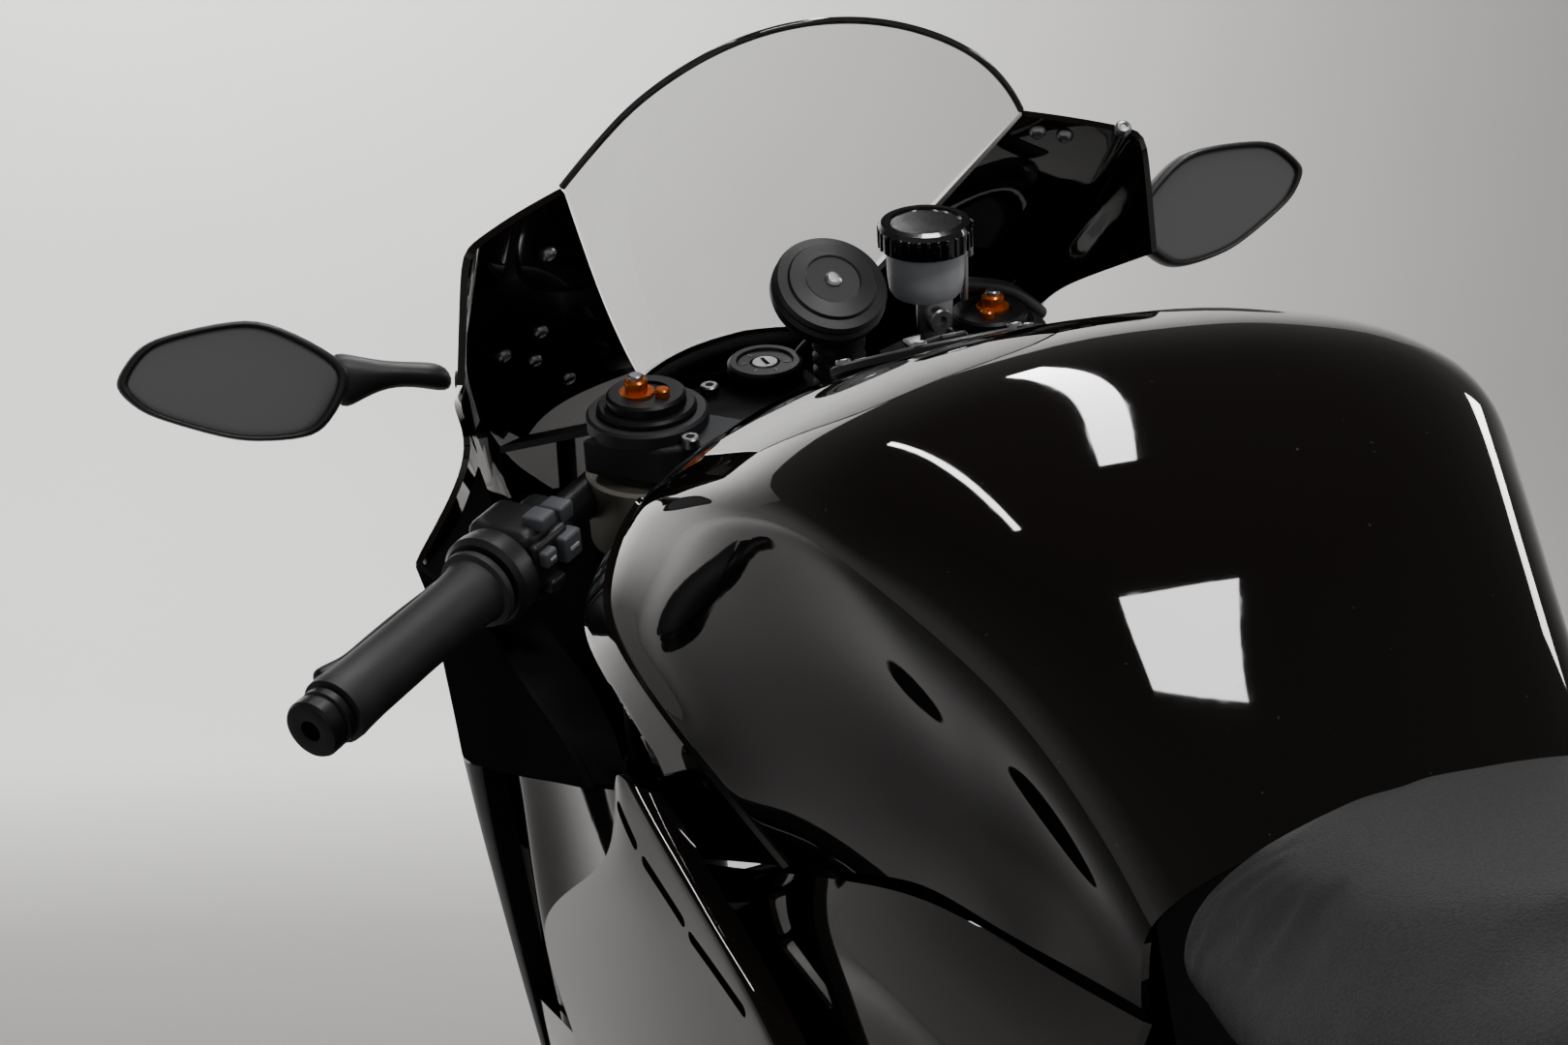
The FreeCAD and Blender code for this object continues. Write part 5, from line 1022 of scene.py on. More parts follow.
# %% [markdown]
# ## Grips
# A rubber grip has a flange against the pod, a waist where the hand lies, and a swollen end. The weight beyond it
# is steel, with a groove and a hollow for its screw.

# %% Grips and bar ends
GRIP_PROFILE = [(11.2, 0), (21, 0.4), (21.6, 2), (21.2, 4.4), (18.4, 5.6), (17.4, 9)]
GRIP_PROFILE += [(16.4, 24), (16.2, 60), (16.6, 100), (17.2, 112), (17.6, 116), (17.2, GRIP_LENGTH - 1),
                 (11.2, GRIP_LENGTH)]
grip = spun("grip", GRIP_PROFILE, on_bar(GRIP_START), 56)
settle(mirrored_pair("grip_sleeves", [grip]), STEER, "steering", GRIP_RUBBER, ["grips"])
END_PROFILE = [(5.5, 2), (5.5, 15.2), (11, 15.8), (14, 15.2), (15, 13.5), (15, 7.5), (13.6, 6.6), (13.6, 5.2),
               (15, 4.2), (15, 0.4), (0, 0.4)]
ends = [spun("bar_end", END_PROFILE, on_bar(BAR_END), 40)]
settle(mirrored_pair("bar_end_caps", ends), STEER, "steering", BLACK_METAL, ["bar_ends"])
print("grip faces", count_of(grip))

# %% [markdown]
# ## Switch pods
# The pod is a clamp of moulded plastic round the bar, fuller towards the rider, with keys on its face and top.
# Rounded blocks that sink into each other are enough, because the seams between the real halves look the same.

# %% Switch pods
POD_END = GRIP_START - 1
pod_ring = [(11.2, 0), (22, 0), (24.5, 2), (25.5, 8), (25.5, 14), (23, 17), (11.2, 17)]
pods = [spun("pod_collar", pod_ring, on_bar(POD_END - 18), 48)]
pods.append(block("pod_body", (44, 40, 34), on_bar(POD_END - 34, ahead=1, above=1), 7, 4))
pods.append(block("pod_shoulder", (30, 26, 22), on_bar(POD_END - 56, ahead=-1, above=4), 5, 4))
pods.append(block("pod_face", (26, 6, 30), on_bar(POD_END - 33, ahead=-20, above=4), 2.4, 3))
settle(mirrored_pair("pod_shells", pods), STEER, "steering", SATIN_PLASTIC, ["switch_pods"])
BUTTONS = [
    # along the bar, ahead, above, size, finish
    (POD_END - 34, -15, 24, (8, 13, 13), GREY_PLASTIC),
    (POD_END - 57, -10, 16, (10, 14, 12), GREY_PLASTIC),
    (POD_END - 44, -24, 6, (15, 9, 15), GREY_PLASTIC),
    (POD_END - 25, -25, 9, (9, 6, 10), GREY_PLASTIC),
    (POD_END - 30, -24, -9, (8, 7, 13), SATIN_PLASTIC),
]
for number, (along, forward, above, size, finish) in enumerate(BUTTONS, 1):
    key = block(f"switch_key_{number}", size, on_bar(along, forward, above), 1.6)
    key = mirrored_pair(f"switch_keys_{number}", [key])
    settle(key, STEER, "steering", finish)
MARKS = [(POD_END - 44, -28.8, 6, (2.4, 0.8, 8)), (POD_END - 25, -28.3, 9, (1.8, 0.8, 5))]
marks = [block("key_mark", size, on_bar(*spot), 0.3, 1) for *spot, size in MARKS]
settle(mirrored_pair("key_marks", marks), STEER, "steering", PALE_BUTTON)
print("keys on each side", len(BUTTONS))

# %% [markdown]
# ## Hand levers
# A lever is a flat bar that leaves its perch ahead of the pod, runs along the grip and ends in a ball. Its
# stations lie in the plane that it swings in, which is turned down a little round the bar, and Subdivision rounds
# the bar between them.

# %% Hand levers
TILT = math.radians(32)
PERCH = POD_END - 53


def lever_place(distance, reach):
    """A place on the lever: along the bar, and ahead of it on the plane that the lever swings in."""
    ahead = BAR_WAY.cross(Vector((0, 0, 1))).normalized()
    ahead.rotate(Matrix.Rotation(TILT, 3, BAR_WAY))
    return BAR_START + BAR_WAY * distance + ahead * reach


def strap(name, stations, thick, wide):
    """A flattened bar through stations of (distance, reach, scale), rounded by subdivision."""
    up = (lever_place(0, 1) - lever_place(0, 0)).cross(BAR_WAY).normalized()
    points, faces = [], []
    for number, (distance, reach, scale) in enumerate(stations):
        spot = lever_place(distance, reach)
        after = stations[min(number + 1, len(stations) - 1)]
        before = stations[max(number - 1, 0)]
        along = (lever_place(*after[:2]) - lever_place(*before[:2])).normalized()
        side = along.cross(up).normalized()
        for a, b in ((-1, -1), (1, -1), (1, 1), (-1, 1)):
            points.append(tuple(spot + side * a * thick * scale / 2 + up * b * wide * scale / 2))
    for ring in range(len(stations) - 1):
        base = ring * 4
        faces += [(base + i, base + (i + 1) % 4, base + (i + 1) % 4 + 4, base + i + 4) for i in range(4)]
    faces += [(3, 2, 1, 0), tuple(range(len(points) - 4, len(points)))]
    piece = outward(piece_from(name, points, faces))
    add_modifier(piece, "SUBSURF", levels=3, render_levels=3)
    return smooth(apply_modifiers(piece), 60)


BLADE = [(PERCH + 2, 38, 1.3), (PERCH + 24, 46, 1.2), (PERCH + 54, 62, 1.0), (GRIP_START + 30, 62, 1.0),
         (GRIP_START + 46, 60, 1.0), (GRIP_END_REACH - 12, 61, 1.05), (GRIP_END_REACH, 63, 1.5),
         (GRIP_END_REACH + 6, 63, 1.4)]
blade = strap("lever_blade", BLADE, 9, 14)
perch_ring = [(11.2, 0), (17, 0), (18, 1), (18, 17), (17, 18), (11.2, 18), (11.2, 0)]
perch = [spun("lever_perch", perch_ring, on_bar(PERCH - 9), 40)]
perch.append(strap("lever_arm", [(PERCH, 12, 1.6), (PERCH, 26, 1.4), (PERCH, 40, 1.3)], 12, 12))
settle(mirrored_pair("lever_blades", [blade]), STEER, "steering", BLACK_METAL, ["hand_levers"])
settle(mirrored_pair("lever_perches", perch), STEER, "steering", BLACK_METAL)
print("lever stations", len(BLADE))

# %% [markdown]
# ## Ignition lock
# The lock is a short barrel in a black ring, with the slit for the key and small marks round it.

# %% Ignition lock
LOCK = [(0, 5), (8.5, 5), (8.5, 8), (15, 8), (16, 9.5), (19.5, 9.5), (21, 8), (21, 1), (19, 0), (0, 0)]
lock_place = at(FORK_OFFSET + 20, 26, CLAMP_TOP)
settle(spun("lock_ring", LOCK, lock_place), STEER, "steering", BLACK_METAL, ["ignition_lock"])
barrel = spun("lock_barrel", [(0, 8.5), (6.8, 8.5), (7.6, 7.6), (7.6, 3), (0, 3)], lock_place, 32)
slit = block("key_slit", (8.6, 2.2, 2), lock_place @ Matrix.Translation((0, 0, 8.2 * MM)), 0.4, 1)
arcs = []
for turn in (20, 75, 130, 185, 240):
    arc = block("lock_mark", (3.4, 0.9, 0.5), Matrix.Translation((12 * MM, 0, 0)), 0.2, 1)
    around = Matrix.Rotation(math.radians(turn), 4, "Z")
    arc.data.transform(lock_place @ Matrix.Translation((0, 0, 8.2 * MM)) @ around)
    arcs.append(arc)
settle(barrel, STEER, "steering", STEEL)
settle(slit, STEER, "steering", GLOSS_TRIM)
settle(joined("lock_marks", arcs), STEER, "steering", LOCK_MARKS)
print("lock marks", len(arcs))

# %% [markdown]
# ## Round mount
# A round rubber-faced mount stands on the steering stem and faces the rider. Its neck is ribbed like a bellows.

# %% Round mount on the stem
PUCK_TILT = math.radians(34)
puck_way = Vector((-math.sin(PUCK_TILT), 0, math.cos(PUCK_TILT)))
puck_spot = (12, 2, CLAMP_TOP + 61.5)
puck_place = frame_at(puck_spot, puck_way, (0, 1, 0))
DISC = [(0, -14), (26, -14), (30, -12), (31.6, -8), (31.6, -4), (29.4, -2.4), (28.4, -1.6), (30.4, -0.6), (31, 1.4),
        (29.4, 3.6), (24.5, 4.6), (23.4, 6.4), (15.5, 7.6), (14.4, 6.8), (6, 6.8), (0, 6.8)]
puck = spun("mount_disc", DISC, puck_place, 64)
NECK = [(0, 0), (13, 0), (14, 2)]
for ring in range(5):
    NECK += [(14.5, 4 + ring * 8), (14.5, 7 + ring * 8), (11.5, 9 + ring * 8), (11.5, 10 + ring * 8)]
NECK += [(11.5, 46), (0, 46)]
neck = spun("mount_neck", NECK, at(8, 0, CLAMP_TOP + 0.3), 40)
settle(joined("stem_mount_disc", [puck, neck]), STEER, "steering", SATIN_PLASTIC, ["stem_mount"])
rivet = spun("mount_rivet", [(0, 9), (3, 8.8), (4.4, 7.8), (4.8, 6.6), (0, 6.6)], puck_place, 32)
settle(rivet, STEER, "steering", SILVER)
print("mount tilt", round(math.degrees(PUCK_TILT)))

# %% [markdown]
# ## Brake fluid cup
# The cup is milky plastic, so its finish is pale and lets a little light through. Its black lid is ribbed for the
# hand: one small rib is made and copied round. A pressed bracket carries the cup, with one bolt towards the rider.

# %% Brake fluid cup
CUP_X, CUP_Y, CUP_LOW = FORK_OFFSET + 4, -67, CLAMP_TOP + 34
cup_place = at(CUP_X, CUP_Y, CUP_LOW)
CUP = [(0, 0), (15, 0), (18.5, 1.5), (20.5, 5), (21.5, 12), (22, 29), (22, 30.5), (0, 30.5)]
settle(spun("fluid_cup", CUP, cup_place, 56), STEER, "steering", CUP_WHITE, ["brake_reservoir"])
LID = [(0, 29.5), (25.5, 29.5), (26, 31), (26, 41), (24.5, 43.5), (20, 44), (19, 42.8), (0, 42.8)]
lid = [spun("cup_lid", LID, cup_place, 64)]
for turn in range(0, 360, 12):
    rib = block("lid_rib", (1.6, 2.2, 11), Matrix.Translation((26 * MM, 0, 35.6 * MM)), 0.7, 2)
    rib.data.transform(cup_place @ Matrix.Rotation(math.radians(turn), 4, "Z"))
    lid.append(rib)
settle(joined("cup_lid", lid), STEER, "steering", GLOSS_TRIM)
plate = [block("cup_bracket", (4, 22, 20), at(CUP_X - 10, CUP_Y, CUP_LOW - 8), 1.4)]
plate.append(block("cup_bracket_foot", (22, 22, 4), at(CUP_X - 2, CUP_Y, CUP_LOW - 30), 1.4))
plate.append(block("cup_bracket_stem", (4, 16, 26), at(CUP_X - 8, CUP_Y, CUP_LOW - 20), 1.4))
plate.append(block("cup_clip", (5, 4, 22), at(CUP_X - 4, CUP_Y - 25, CUP_LOW + 30), 1.2))
plate.append(block("cup_clip_arm", (4, 4, 30), at(CUP_X - 4, CUP_Y - 22, CUP_LOW + 8), 1.2))
settle(joined("cup_bracket", plate), STEER, "steering", SILVER, ["reservoir_bracket"])
head = spun("bracket_bolt", [(0, 3), (3, 3), (3.4, 6), (6.4, 6), (7.2, 5), (7.2, 0), (0, 0)],
            at(CUP_X - 12, CUP_Y, CUP_LOW - 10, (-1, 0, 0), (0, 0, 1)), 32)
settle(head, STEER, "steering", STEEL)
print("lid ribs", len(lid) - 1)

# %% [markdown]
# ## Hose and cable
# Both are held at their two ends by the bike itself, so they are round beads along short smooth curves.

# %% Hose and cable
HOSE = [(CUP_X + 6, CUP_Y - 14, CUP_LOW + 3), (CUP_X + 8, CUP_Y - 30, CUP_LOW - 4),
        (CUP_X + 12, CUP_Y - 48, CUP_LOW - 10), (CUP_X + 20, CUP_Y - 70, CUP_LOW - 22),
        (CUP_X + 30, CUP_Y - 92, CUP_LOW - 44)]
settle(bead("brake_hose", HOSE, 4.6, 4), STEER, "steering", HOSE_RUBBER)
LOOM = [(60, 10, CLAMP_TOP - 12), (50, 4, CLAMP_TOP + 12), (30, -2, CLAMP_TOP + 26), (6, -8, CLAMP_TOP + 20),
        (-14, -12, CLAMP_TOP + 2), (-26, -14, CLAMP_TOP - 18)]
settle(bead("lock_cable", LOOM, 2.6, 3), STEER, "steering", HOSE_RUBBER)

# %% [markdown]
# ## Mirrors
# A mirror is a shallow shell round a flat glass. Its outline has seven corners that are only a little rounded, so
# each corner is replaced by two points, and Subdivision turns the short edge between them into a tight curve.

# %% Mirror shells and glass
MIRROR_X = 1205
MIRROR_OUTLINE = [(373, 1026), (352, 1048), (287, 1051), (237, 1011), (266, 976), (311, 982), (359, 1007)]
MIRROR_MIDDLE = tuple(sum(values) / len(MIRROR_OUTLINE) for values in zip(*MIRROR_OUTLINE))
CORNER_CUT = 0.17


def mirror_ring(ahead, scale):
    """The outline with cut corners, scaled about its middle, at one place along X."""
    ring = []
    for number, corner in enumerate(MIRROR_OUTLINE):
        for near in (MIRROR_OUTLINE[number - 1], MIRROR_OUTLINE[(number + 1) % len(MIRROR_OUTLINE)]):
            ring.append([c + (n - c) * CORNER_CUT for c, n in zip(corner, near)])
    return [(MIRROR_X + ahead, *(m + (c - m) * scale for c, m in zip(spot, MIRROR_MIDDLE))) for spot in ring]


def lofted(name, rings):
    """A closed body through rings of points, rounded by Subdivision."""
    n = len(rings[0])
    points = [p for ring in rings for p in ring]
    faces = [tuple(range(n))[::-1], tuple(range(len(points) - n, len(points)))]
    for base in range(0, len(points) - n, n):
        faces += [(base + i, base + (i + 1) % n, base + (i + 1) % n + n, base + i + n) for i in range(n)]
    piece = outward(piece_from(name, points, faces))
    add_modifier(piece, "SUBSURF", levels=2, render_levels=2)
    return smooth(apply_modifiers(piece), 60)


SHELL_STEPS = [(8, 0.5), (6, 0.893), (2.4, 0.897), (0.4, 0.915), (0, 0.94), (0.6, 0.975), (4, 0.998), (12, 1.0),
               (21, 0.93), (28, 0.76), (32, 0.5), (33, 0.2)]
mirror_shell = lofted("mirror_shell", [mirror_ring(*step) for step in SHELL_STEPS])
STALK_RINGS = [
    [(1209, 256, 1026), (1227, 256, 1026), (1227, 256, 986), (1209, 256, 986)],
    [(1209, 242, 1021), (1227, 242, 1021), (1227, 242, 991), (1209, 242, 991)],
    [(1211, 224, 1013), (1229, 224, 1013), (1229, 224, 997), (1211, 224, 997)],
    [(1214, 204, 1009), (1236, 204, 1009), (1236, 204, 993), (1214, 204, 993)],
    [(1216, 184, 1005), (1246, 184, 1005), (1246, 184, 984), (1216, 184, 984)],
]
shells = mirrored_pair("mirror_shells", [mirror_shell, lofted("mirror_stalk", STALK_RINGS)])
settle(shells, BIKE, "chassis", SATIN_PLASTIC, ["mirrors"])
glass = lofted("mirror_face", [mirror_ring(4.6, 0.88), mirror_ring(3.6, 0.905), mirror_ring(3.0, 0.905),
                               mirror_ring(2.8, 0.5)])
settle(mirrored_pair("mirror_faces", [glass]), BIKE, "chassis", MIRROR_GREY, ["mirror_glasses"])

# %% [markdown]
# ## Instruments
# The display stands in a hooded case behind the top clamp: a deep case, a sheet of dark glass, and a hood that
# arches over it to keep the sun off.

# %% Display case and hood
display_place = Matrix.Translation(Vector((1262, 0, 932)) * MM) @ Matrix.Rotation(math.radians(38), 4, "Y")
case = block("display_case", (20, 164, 84), display_place, 7, 4)
settle(case, BIKE, "chassis", SATIN_PLASTIC, ["instrument_display"])
pane = block("display_pane", (2.4, 148, 70), display_place @ Matrix.Translation((-10.4 * MM, 0, 0)), 1.1, 3)
settle(pane, BIKE, "chassis", DISPLAY_GLASS)
HOOD_ROWS = [
    [(1254, 0, 990), (1255, 30, 988), (1258, 58, 980), (1262, 78, 966), (1264, 88, 950)],
    [(1270, 0, 992), (1270, 30, 990), (1272, 58, 982), (1275, 78, 968), (1276, 88, 950)],
    [(1292, 0, 984), (1292, 30, 982), (1292, 56, 975), (1293, 76, 962), (1294, 86, 950)],
    [(1308, 0, 966), (1308, 30, 965), (1308, 54, 961), (1308, 72, 955), (1308, 82, 950)],
]
hood = cage("display_hood", HOOD_ROWS, creases=[(rim_of(HOOD_ROWS), 0.8)], levels=3, wall=0.003)
settle(hood, BIKE, "chassis", GLOSS_TRIM)

# %% [markdown]
# ## Filler
# The filler lid sits in a bolted ring let into the tank. The lid is hinged at its front edge and carries the lock
# under a small cover. Both are turned from a profile about the filler's own axis.

# %% Filler ring and lid
RING = [(42.5, -14), (44.2, -14), (44.2, -3.4), (52, -3.8), (53, -2.4), (52.6, 0.6), (51, 1.6), (45, 2.0),
        (43.4, 1.2), (42.5, 0), (42.5, -14)]
settle(spun("filler_ring", RING, cap_place, 96), BIKE, "chassis", BLACK_METAL)
SOCKET_HEAD = [(0, 0.6), (1.7, 0.6), (1.7, 2.2), (3.1, 2.2), (3.6, 1.7), (3.6, 0), (0, 0)]
screws = []
for turn in range(30, 390, 60):
    around = Matrix.Rotation(math.radians(turn), 4, "Z") @ Matrix.Translation((48.2 * MM, 0, 1.6 * MM))
    screws.append(spun("ring_screw", SOCKET_HEAD, cap_place @ around, 20))
settle(joined("ring_screws", screws), BIKE, "chassis", STEEL)
LID = [(0, -8), (40.6, -8), (41.6, -7), (41.6, -0.4), (40.6, 0.8), (35, 2.2), (33.5, 1.2), (20, 1.6), (18.5, 2.8),
       (0, 3.4)]
lid = [spun("filler_lid", LID, cap_place, 96)]
lid.append(block("lid_arm", (22, 17, 4), cap_place @ Matrix.Translation((38 * MM, 0, 2.2 * MM)), 1.6))
lid.append(block("lock_cover", (24, 15, 4.4), cap_place @ Matrix.Translation((-14 * MM, 0, 3.2 * MM)), 2))
settle(joined("filler_lid", lid), BIKE, "fuel_lid", BLACK_METAL, ["fuel_cap"])

# %% [markdown]
# ## Fasteners of the cowl
# Small domed screws hold the screen and the wings. Their places are known as pixels of the view, so a ray from the
# camera finds each place on the shell, and the screw stands square to the surface there.


# %% Screws found by sight
def in_sight(piece, column, row):
    """Where the ray through a pixel meets a piece: a place with its Z along the surface's normal."""
    start = BIKE @ CAMERA_PLACE
    across, down = column - IMAGE_WIDTH / 2, row - IMAGE_HEIGHT / 2
    way = ahead + right * (across / FOCAL_PIXELS) - up * (down / FOCAL_PIXELS)
    met, spot, normal, _ = piece.ray_cast(start, way.normalized())
    if normal.dot(way) > 0:
        normal = -normal
    return frame_at(spot / MM, normal) if met else None


DOME = [(0, 2.2), (1.6, 2.2), (1.9, 3.2), (3.4, 2.9), (4.6, 1.6), (5.0, 0), (5.0, -1.5), (0, -1.5)]
WING_SCREWS = [(566, 262), (558, 342), (552, 372), (520, 367), (587, 390), (1072, 136), (1100, 140), (1160, 133)]
found = [in_sight(cowl, *spot) for spot in WING_SCREWS]
screws = [spun("wing_screw", DOME, place, 24) for place in found if place]
print("wing screws", len(screws))
settle(joined("wing_screws", screws), Matrix.Identity(4), "chassis", STEEL)

# %% [markdown]
# ## Seats
# Each seat is a foam pad under stretched vinyl. The pad starts as the shape of the foam, a little too small. Cloth
# with air pressure inside it then swells the cover, so that it crowns between its edges as a real cushion does,
# and how far a point may move is capped.

# %% Foam shapes
SEAT_ROWS = [
    [(604, 0, 804), (604, 44, 801), (602, 74, 792), (600, 86, 779), (600, 82, 762), (600, 0, 758)],
    [(566, 0, 811), (566, 58, 808), (565, 94, 796), (562, 109, 779), (562, 103, 758), (562, 0, 758)],
    [(510, 0, 820), (508, 70, 816), (506, 112, 801), (505, 124, 780), (505, 114, 758), (505, 0, 758)],
    [(430, 0, 829), (430, 86, 824), (430, 132, 806), (430, 145, 784), (430, 134, 759), (430, 0, 759)],
    [(350, 0, 838), (350, 86, 834), (350, 130, 816), (350, 142, 794), (350, 132, 766), (350, 0, 766)],
    [(312, 0, 856), (312, 72, 852), (312, 112, 836), (312, 124, 814), (312, 114, 773), (312, 0, 773)],
    [(296, 0, 872), (296, 58, 868), (296, 92, 854), (296, 102, 834), (296, 96, 776), (296, 0, 776)],
]
PILLION_ROWS = [
    [(250, 0, 901), (250, 56, 897), (250, 80, 884), (250, 86, 872), (250, 82, 856), (250, 0, 856)],
    [(215, 0, 911), (215, 60, 907), (215, 82, 894), (215, 87, 878), (215, 83, 863), (215, 0, 863)],
    [(160, 0, 926), (160, 56, 922), (160, 74, 910), (160, 80, 893), (160, 76, 876), (160, 0, 876)],
    [(102, 0, 944), (102, 42, 941), (102, 56, 930), (102, 62, 914), (102, 58, 890), (102, 0, 890)],
]
SWELL = {"rider_cushion": 0.006, "pillion_cushion": 0.005}
SWELL_FRAMES, AIR_PRESSURE = 20, 4


def closed_hull(name, rows):
    """A closed body from half sections whose first and last points lie on the middle plane."""
    rings = [[*row, *[(x, -y, z) for x, y, z in row[-2:0:-1]]] for row in rows]
    n = len(rings[0])
    points = [p for ring in rings for p in ring]
    faces = [tuple(range(n)), tuple(range(len(points) - 1, len(points) - n - 1, -1))]
    for r in range(len(rings) - 1):
        for c in range(n):
            a, b = r * n + c, r * n + (c + 1) % n
            faces.append((a, b, b + n, a + n))
    return outward(piece_from(name, points, faces))


def cushion(name, rows, voxel=0.006):
    """Foam under a stretched cover: remeshed, then swollen by air pressure, its movement capped."""
    pad = closed_hull(name, rows)
    add_modifier(pad, "SUBSURF", levels=2, render_levels=2)
    apply_modifiers(pad)
    pad.data.remesh_voxel_size = voxel
    pick(pad)
    bpy.ops.object.voxel_remesh()
    before = [v.co.copy() for v in pad.data.vertices]
    cloth = add_modifier(pad, "CLOTH")
    cloth.settings.use_pressure = True
    cloth.settings.uniform_pressure_force = AIR_PRESSURE
    cloth.settings.effector_weights.gravity = 0
    cloth.settings.tension_stiffness = 30
    cloth.settings.bending_stiffness = 2
    cloth.point_cache.frame_start, cloth.point_cache.frame_end = 1, SWELL_FRAMES
    for step in range(1, SWELL_FRAMES + 1):
        bpy.context.scene.frame_set(step)
    swollen = pad.evaluated_get(bpy.context.evaluated_depsgraph_get()).data
    after = [v.co.copy() for v in swollen.vertices]
    pad.modifiers.remove(cloth)
    limit = SWELL[name]
    for vertex, start, end in zip(pad.data.vertices, before, after):
        move = end - start
        if move.length > limit:
            move *= limit / move.length
        vertex.co = start + move
    bpy.context.scene.frame_set(1)
    add_modifier(pad, "SUBSURF", levels=1, render_levels=1)
    apply_modifiers(pad)
    return smooth(pad, 60)


PADS = [("rider_cushion", SEAT_ROWS, "rider_seat"), ("pillion_cushion", PILLION_ROWS, "pillion_seat")]
for name, rows, node in PADS:
    pad = cushion(name, rows)
    settle(pad, BIKE, "chassis", SEAT_VINYL, [node])
    print(name, "faces", count_of(pad))

# %% [markdown]
# ## Tail
# The tail is one closed shell that rises behind the seats and ends in the lamp. Its rings are as few as the shape
# allows, and crease weights keep the long side edges and the two ends crisp while the rest is rounded.

# %% Tail
TAIL_ROWS = [
    [(428, 0, 752), (428, 70, 751), (428, 128, 748), (428, 140, 728), (428, 120, 708), (428, 0, 706)],
    [(360, 0, 760), (360, 66, 759), (360, 124, 756), (360, 136, 736), (360, 114, 712), (360, 0, 711)],
    [(292, 0, 772), (292, 62, 771), (292, 116, 768), (292, 130, 746), (292, 108, 716), (292, 0, 716)],
    [(252, 0, 851), (252, 60, 849), (250, 100, 843), (250, 115, 816), (252, 88, 774), (252, 0, 772)],
    [(170, 0, 869), (170, 52, 867), (170, 88, 862), (170, 104, 834), (170, 78, 798), (170, 0, 797)],
    [(94, 0, 886), (92, 46, 885), (90, 80, 880), (90, 94, 852), (90, 70, 823), (90, 0, 822)],
    [(50, 0, 925), (48, 40, 922), (45, 66, 914), (45, 82, 884), (46, 58, 852), (46, 0, 851)],
    [(10, 0, 962), (8, 36, 958), (5, 56, 946), (5, 68, 918), (6, 48, 886), (6, 0, 884)],
    [(-46, 0, 977), (-46, 28, 974), (-46, 44, 963), (-46, 54, 944), (-46, 36, 920), (-46, 0, 918)],
    [(-91, 0, 985), (-91, 24, 982), (-91, 38, 972), (-91, 42, 962), (-91, 27, 947), (-91, 0, 946)],
]
tail = closed_hull("tail_shell", TAIL_ROWS)
tail_crease = tail.data.attributes.new("crease_edge", "FLOAT", "EDGE")
for edge in tail.data.edges:
    a, b = (tail.data.vertices[i].co for i in edge.vertices)
    along = abs(a.x - b.x) > 0.015
    side = min(abs(a.y), abs(b.y)) > 0.03
    cap = min(a.x, b.x) < -0.085 or max(a.x, b.x) > 0.42
    tail_crease.data[edge.index].value = 1.0 if cap and not along else 0.55 if along and side else 0.0
add_modifier(tail, "SUBSURF", levels=3, render_levels=3)
apply_modifiers(tail)
smooth(tail, 40)
settle(tail, BIKE, "chassis", BLACK_PAINT, ["tail_cowl"])
print("tail faces", count_of(tail))

# %% [markdown]
# ## Tyres
# A tyre is a surface of revolution, so its rings may be turned about the axle without changing its shape. Here each
# ring is turned a little further the nearer it is to the shoulder. The columns of faces between the rings then
# sweep backwards like the grooves of a road tyre, and a groove is a run of faces that is inset and pushed in.

# %% Tyres with grooves
FRONT_WHEEL = at(FORK_OFFSET, 0, 0, (0, 1, 0), (1, 0, 0))
REAR_WHEEL = at(0, 0, 318, (0, 1, 0), (1, 0, 0))
TYRE_STEPS, GROOVE_PITCH, GROOVE_DEPTH, GROOVE_SWEEP = 240, 10, 4.0, 0.5
CROWN_END, CROWN_STEP = 84, 7


def grooved_tyre(name, radius, width, height, grooves):
    """A tyre about its own Z, which is the axle; grooves are (first, last) degrees from the crown's middle."""
    half, bead = width / 2, width * 0.38
    wall = radius - height + 0.3
    crown = [(math.sin(math.radians(a)) * half, radius - half + math.cos(math.radians(a)) * half)
             for a in range(-CROWN_END, CROWN_END + 1, CROWN_STEP)]
    side = [(bead, wall), (bead * 1.07, wall + 3.5), (half * 0.93, (wall * 2 + crown[0][1]) / 3),
            (half * 0.985, (wall + crown[0][1] * 2) / 3)]
    profile = [(-y, r) for y, r in side] + crown + side[::-1]
    points, n = [], len(profile)
    for step in range(TYRE_STEPS):
        for y, r in profile:
            around = 2 * math.pi * step / TYRE_STEPS + GROOVE_SWEEP * abs(y) / half
            points.append((math.cos(around) * r, math.sin(around) * r, y))
    faces = []
    for step in range(TYRE_STEPS):
        after = (step + 1) % TYRE_STEPS
        faces += [(step * n + j, step * n + (j + 1) % n, after * n + (j + 1) % n, after * n + j) for j in range(n)]
    tyre = outward(piece_from(name, points, faces))
    pick(tyre)
    bpy.ops.object.mode_set(mode="EDIT")
    bpy.ops.mesh.select_mode(type="FACE")
    bpy.ops.mesh.select_all(action="DESELECT")
    bpy.ops.object.mode_set(mode="OBJECT")
    for number, face in enumerate(tyre.data.polygons):
        step, column = divmod(number, n)
        lean = (column - len(side) + 0.5) * CROWN_STEP - CROWN_END
        phase = 0 if lean > 0 else GROOVE_PITCH // 2
        face.select = step % GROOVE_PITCH == phase and any(low < abs(lean) < high for low, high in grooves)
    bpy.ops.object.mode_set(mode="EDIT")
    bpy.ops.mesh.inset(thickness=1.4 * MM, depth=-GROOVE_DEPTH * MM)
    bpy.ops.object.mode_set(mode="OBJECT")
    return smooth(tyre, 35)


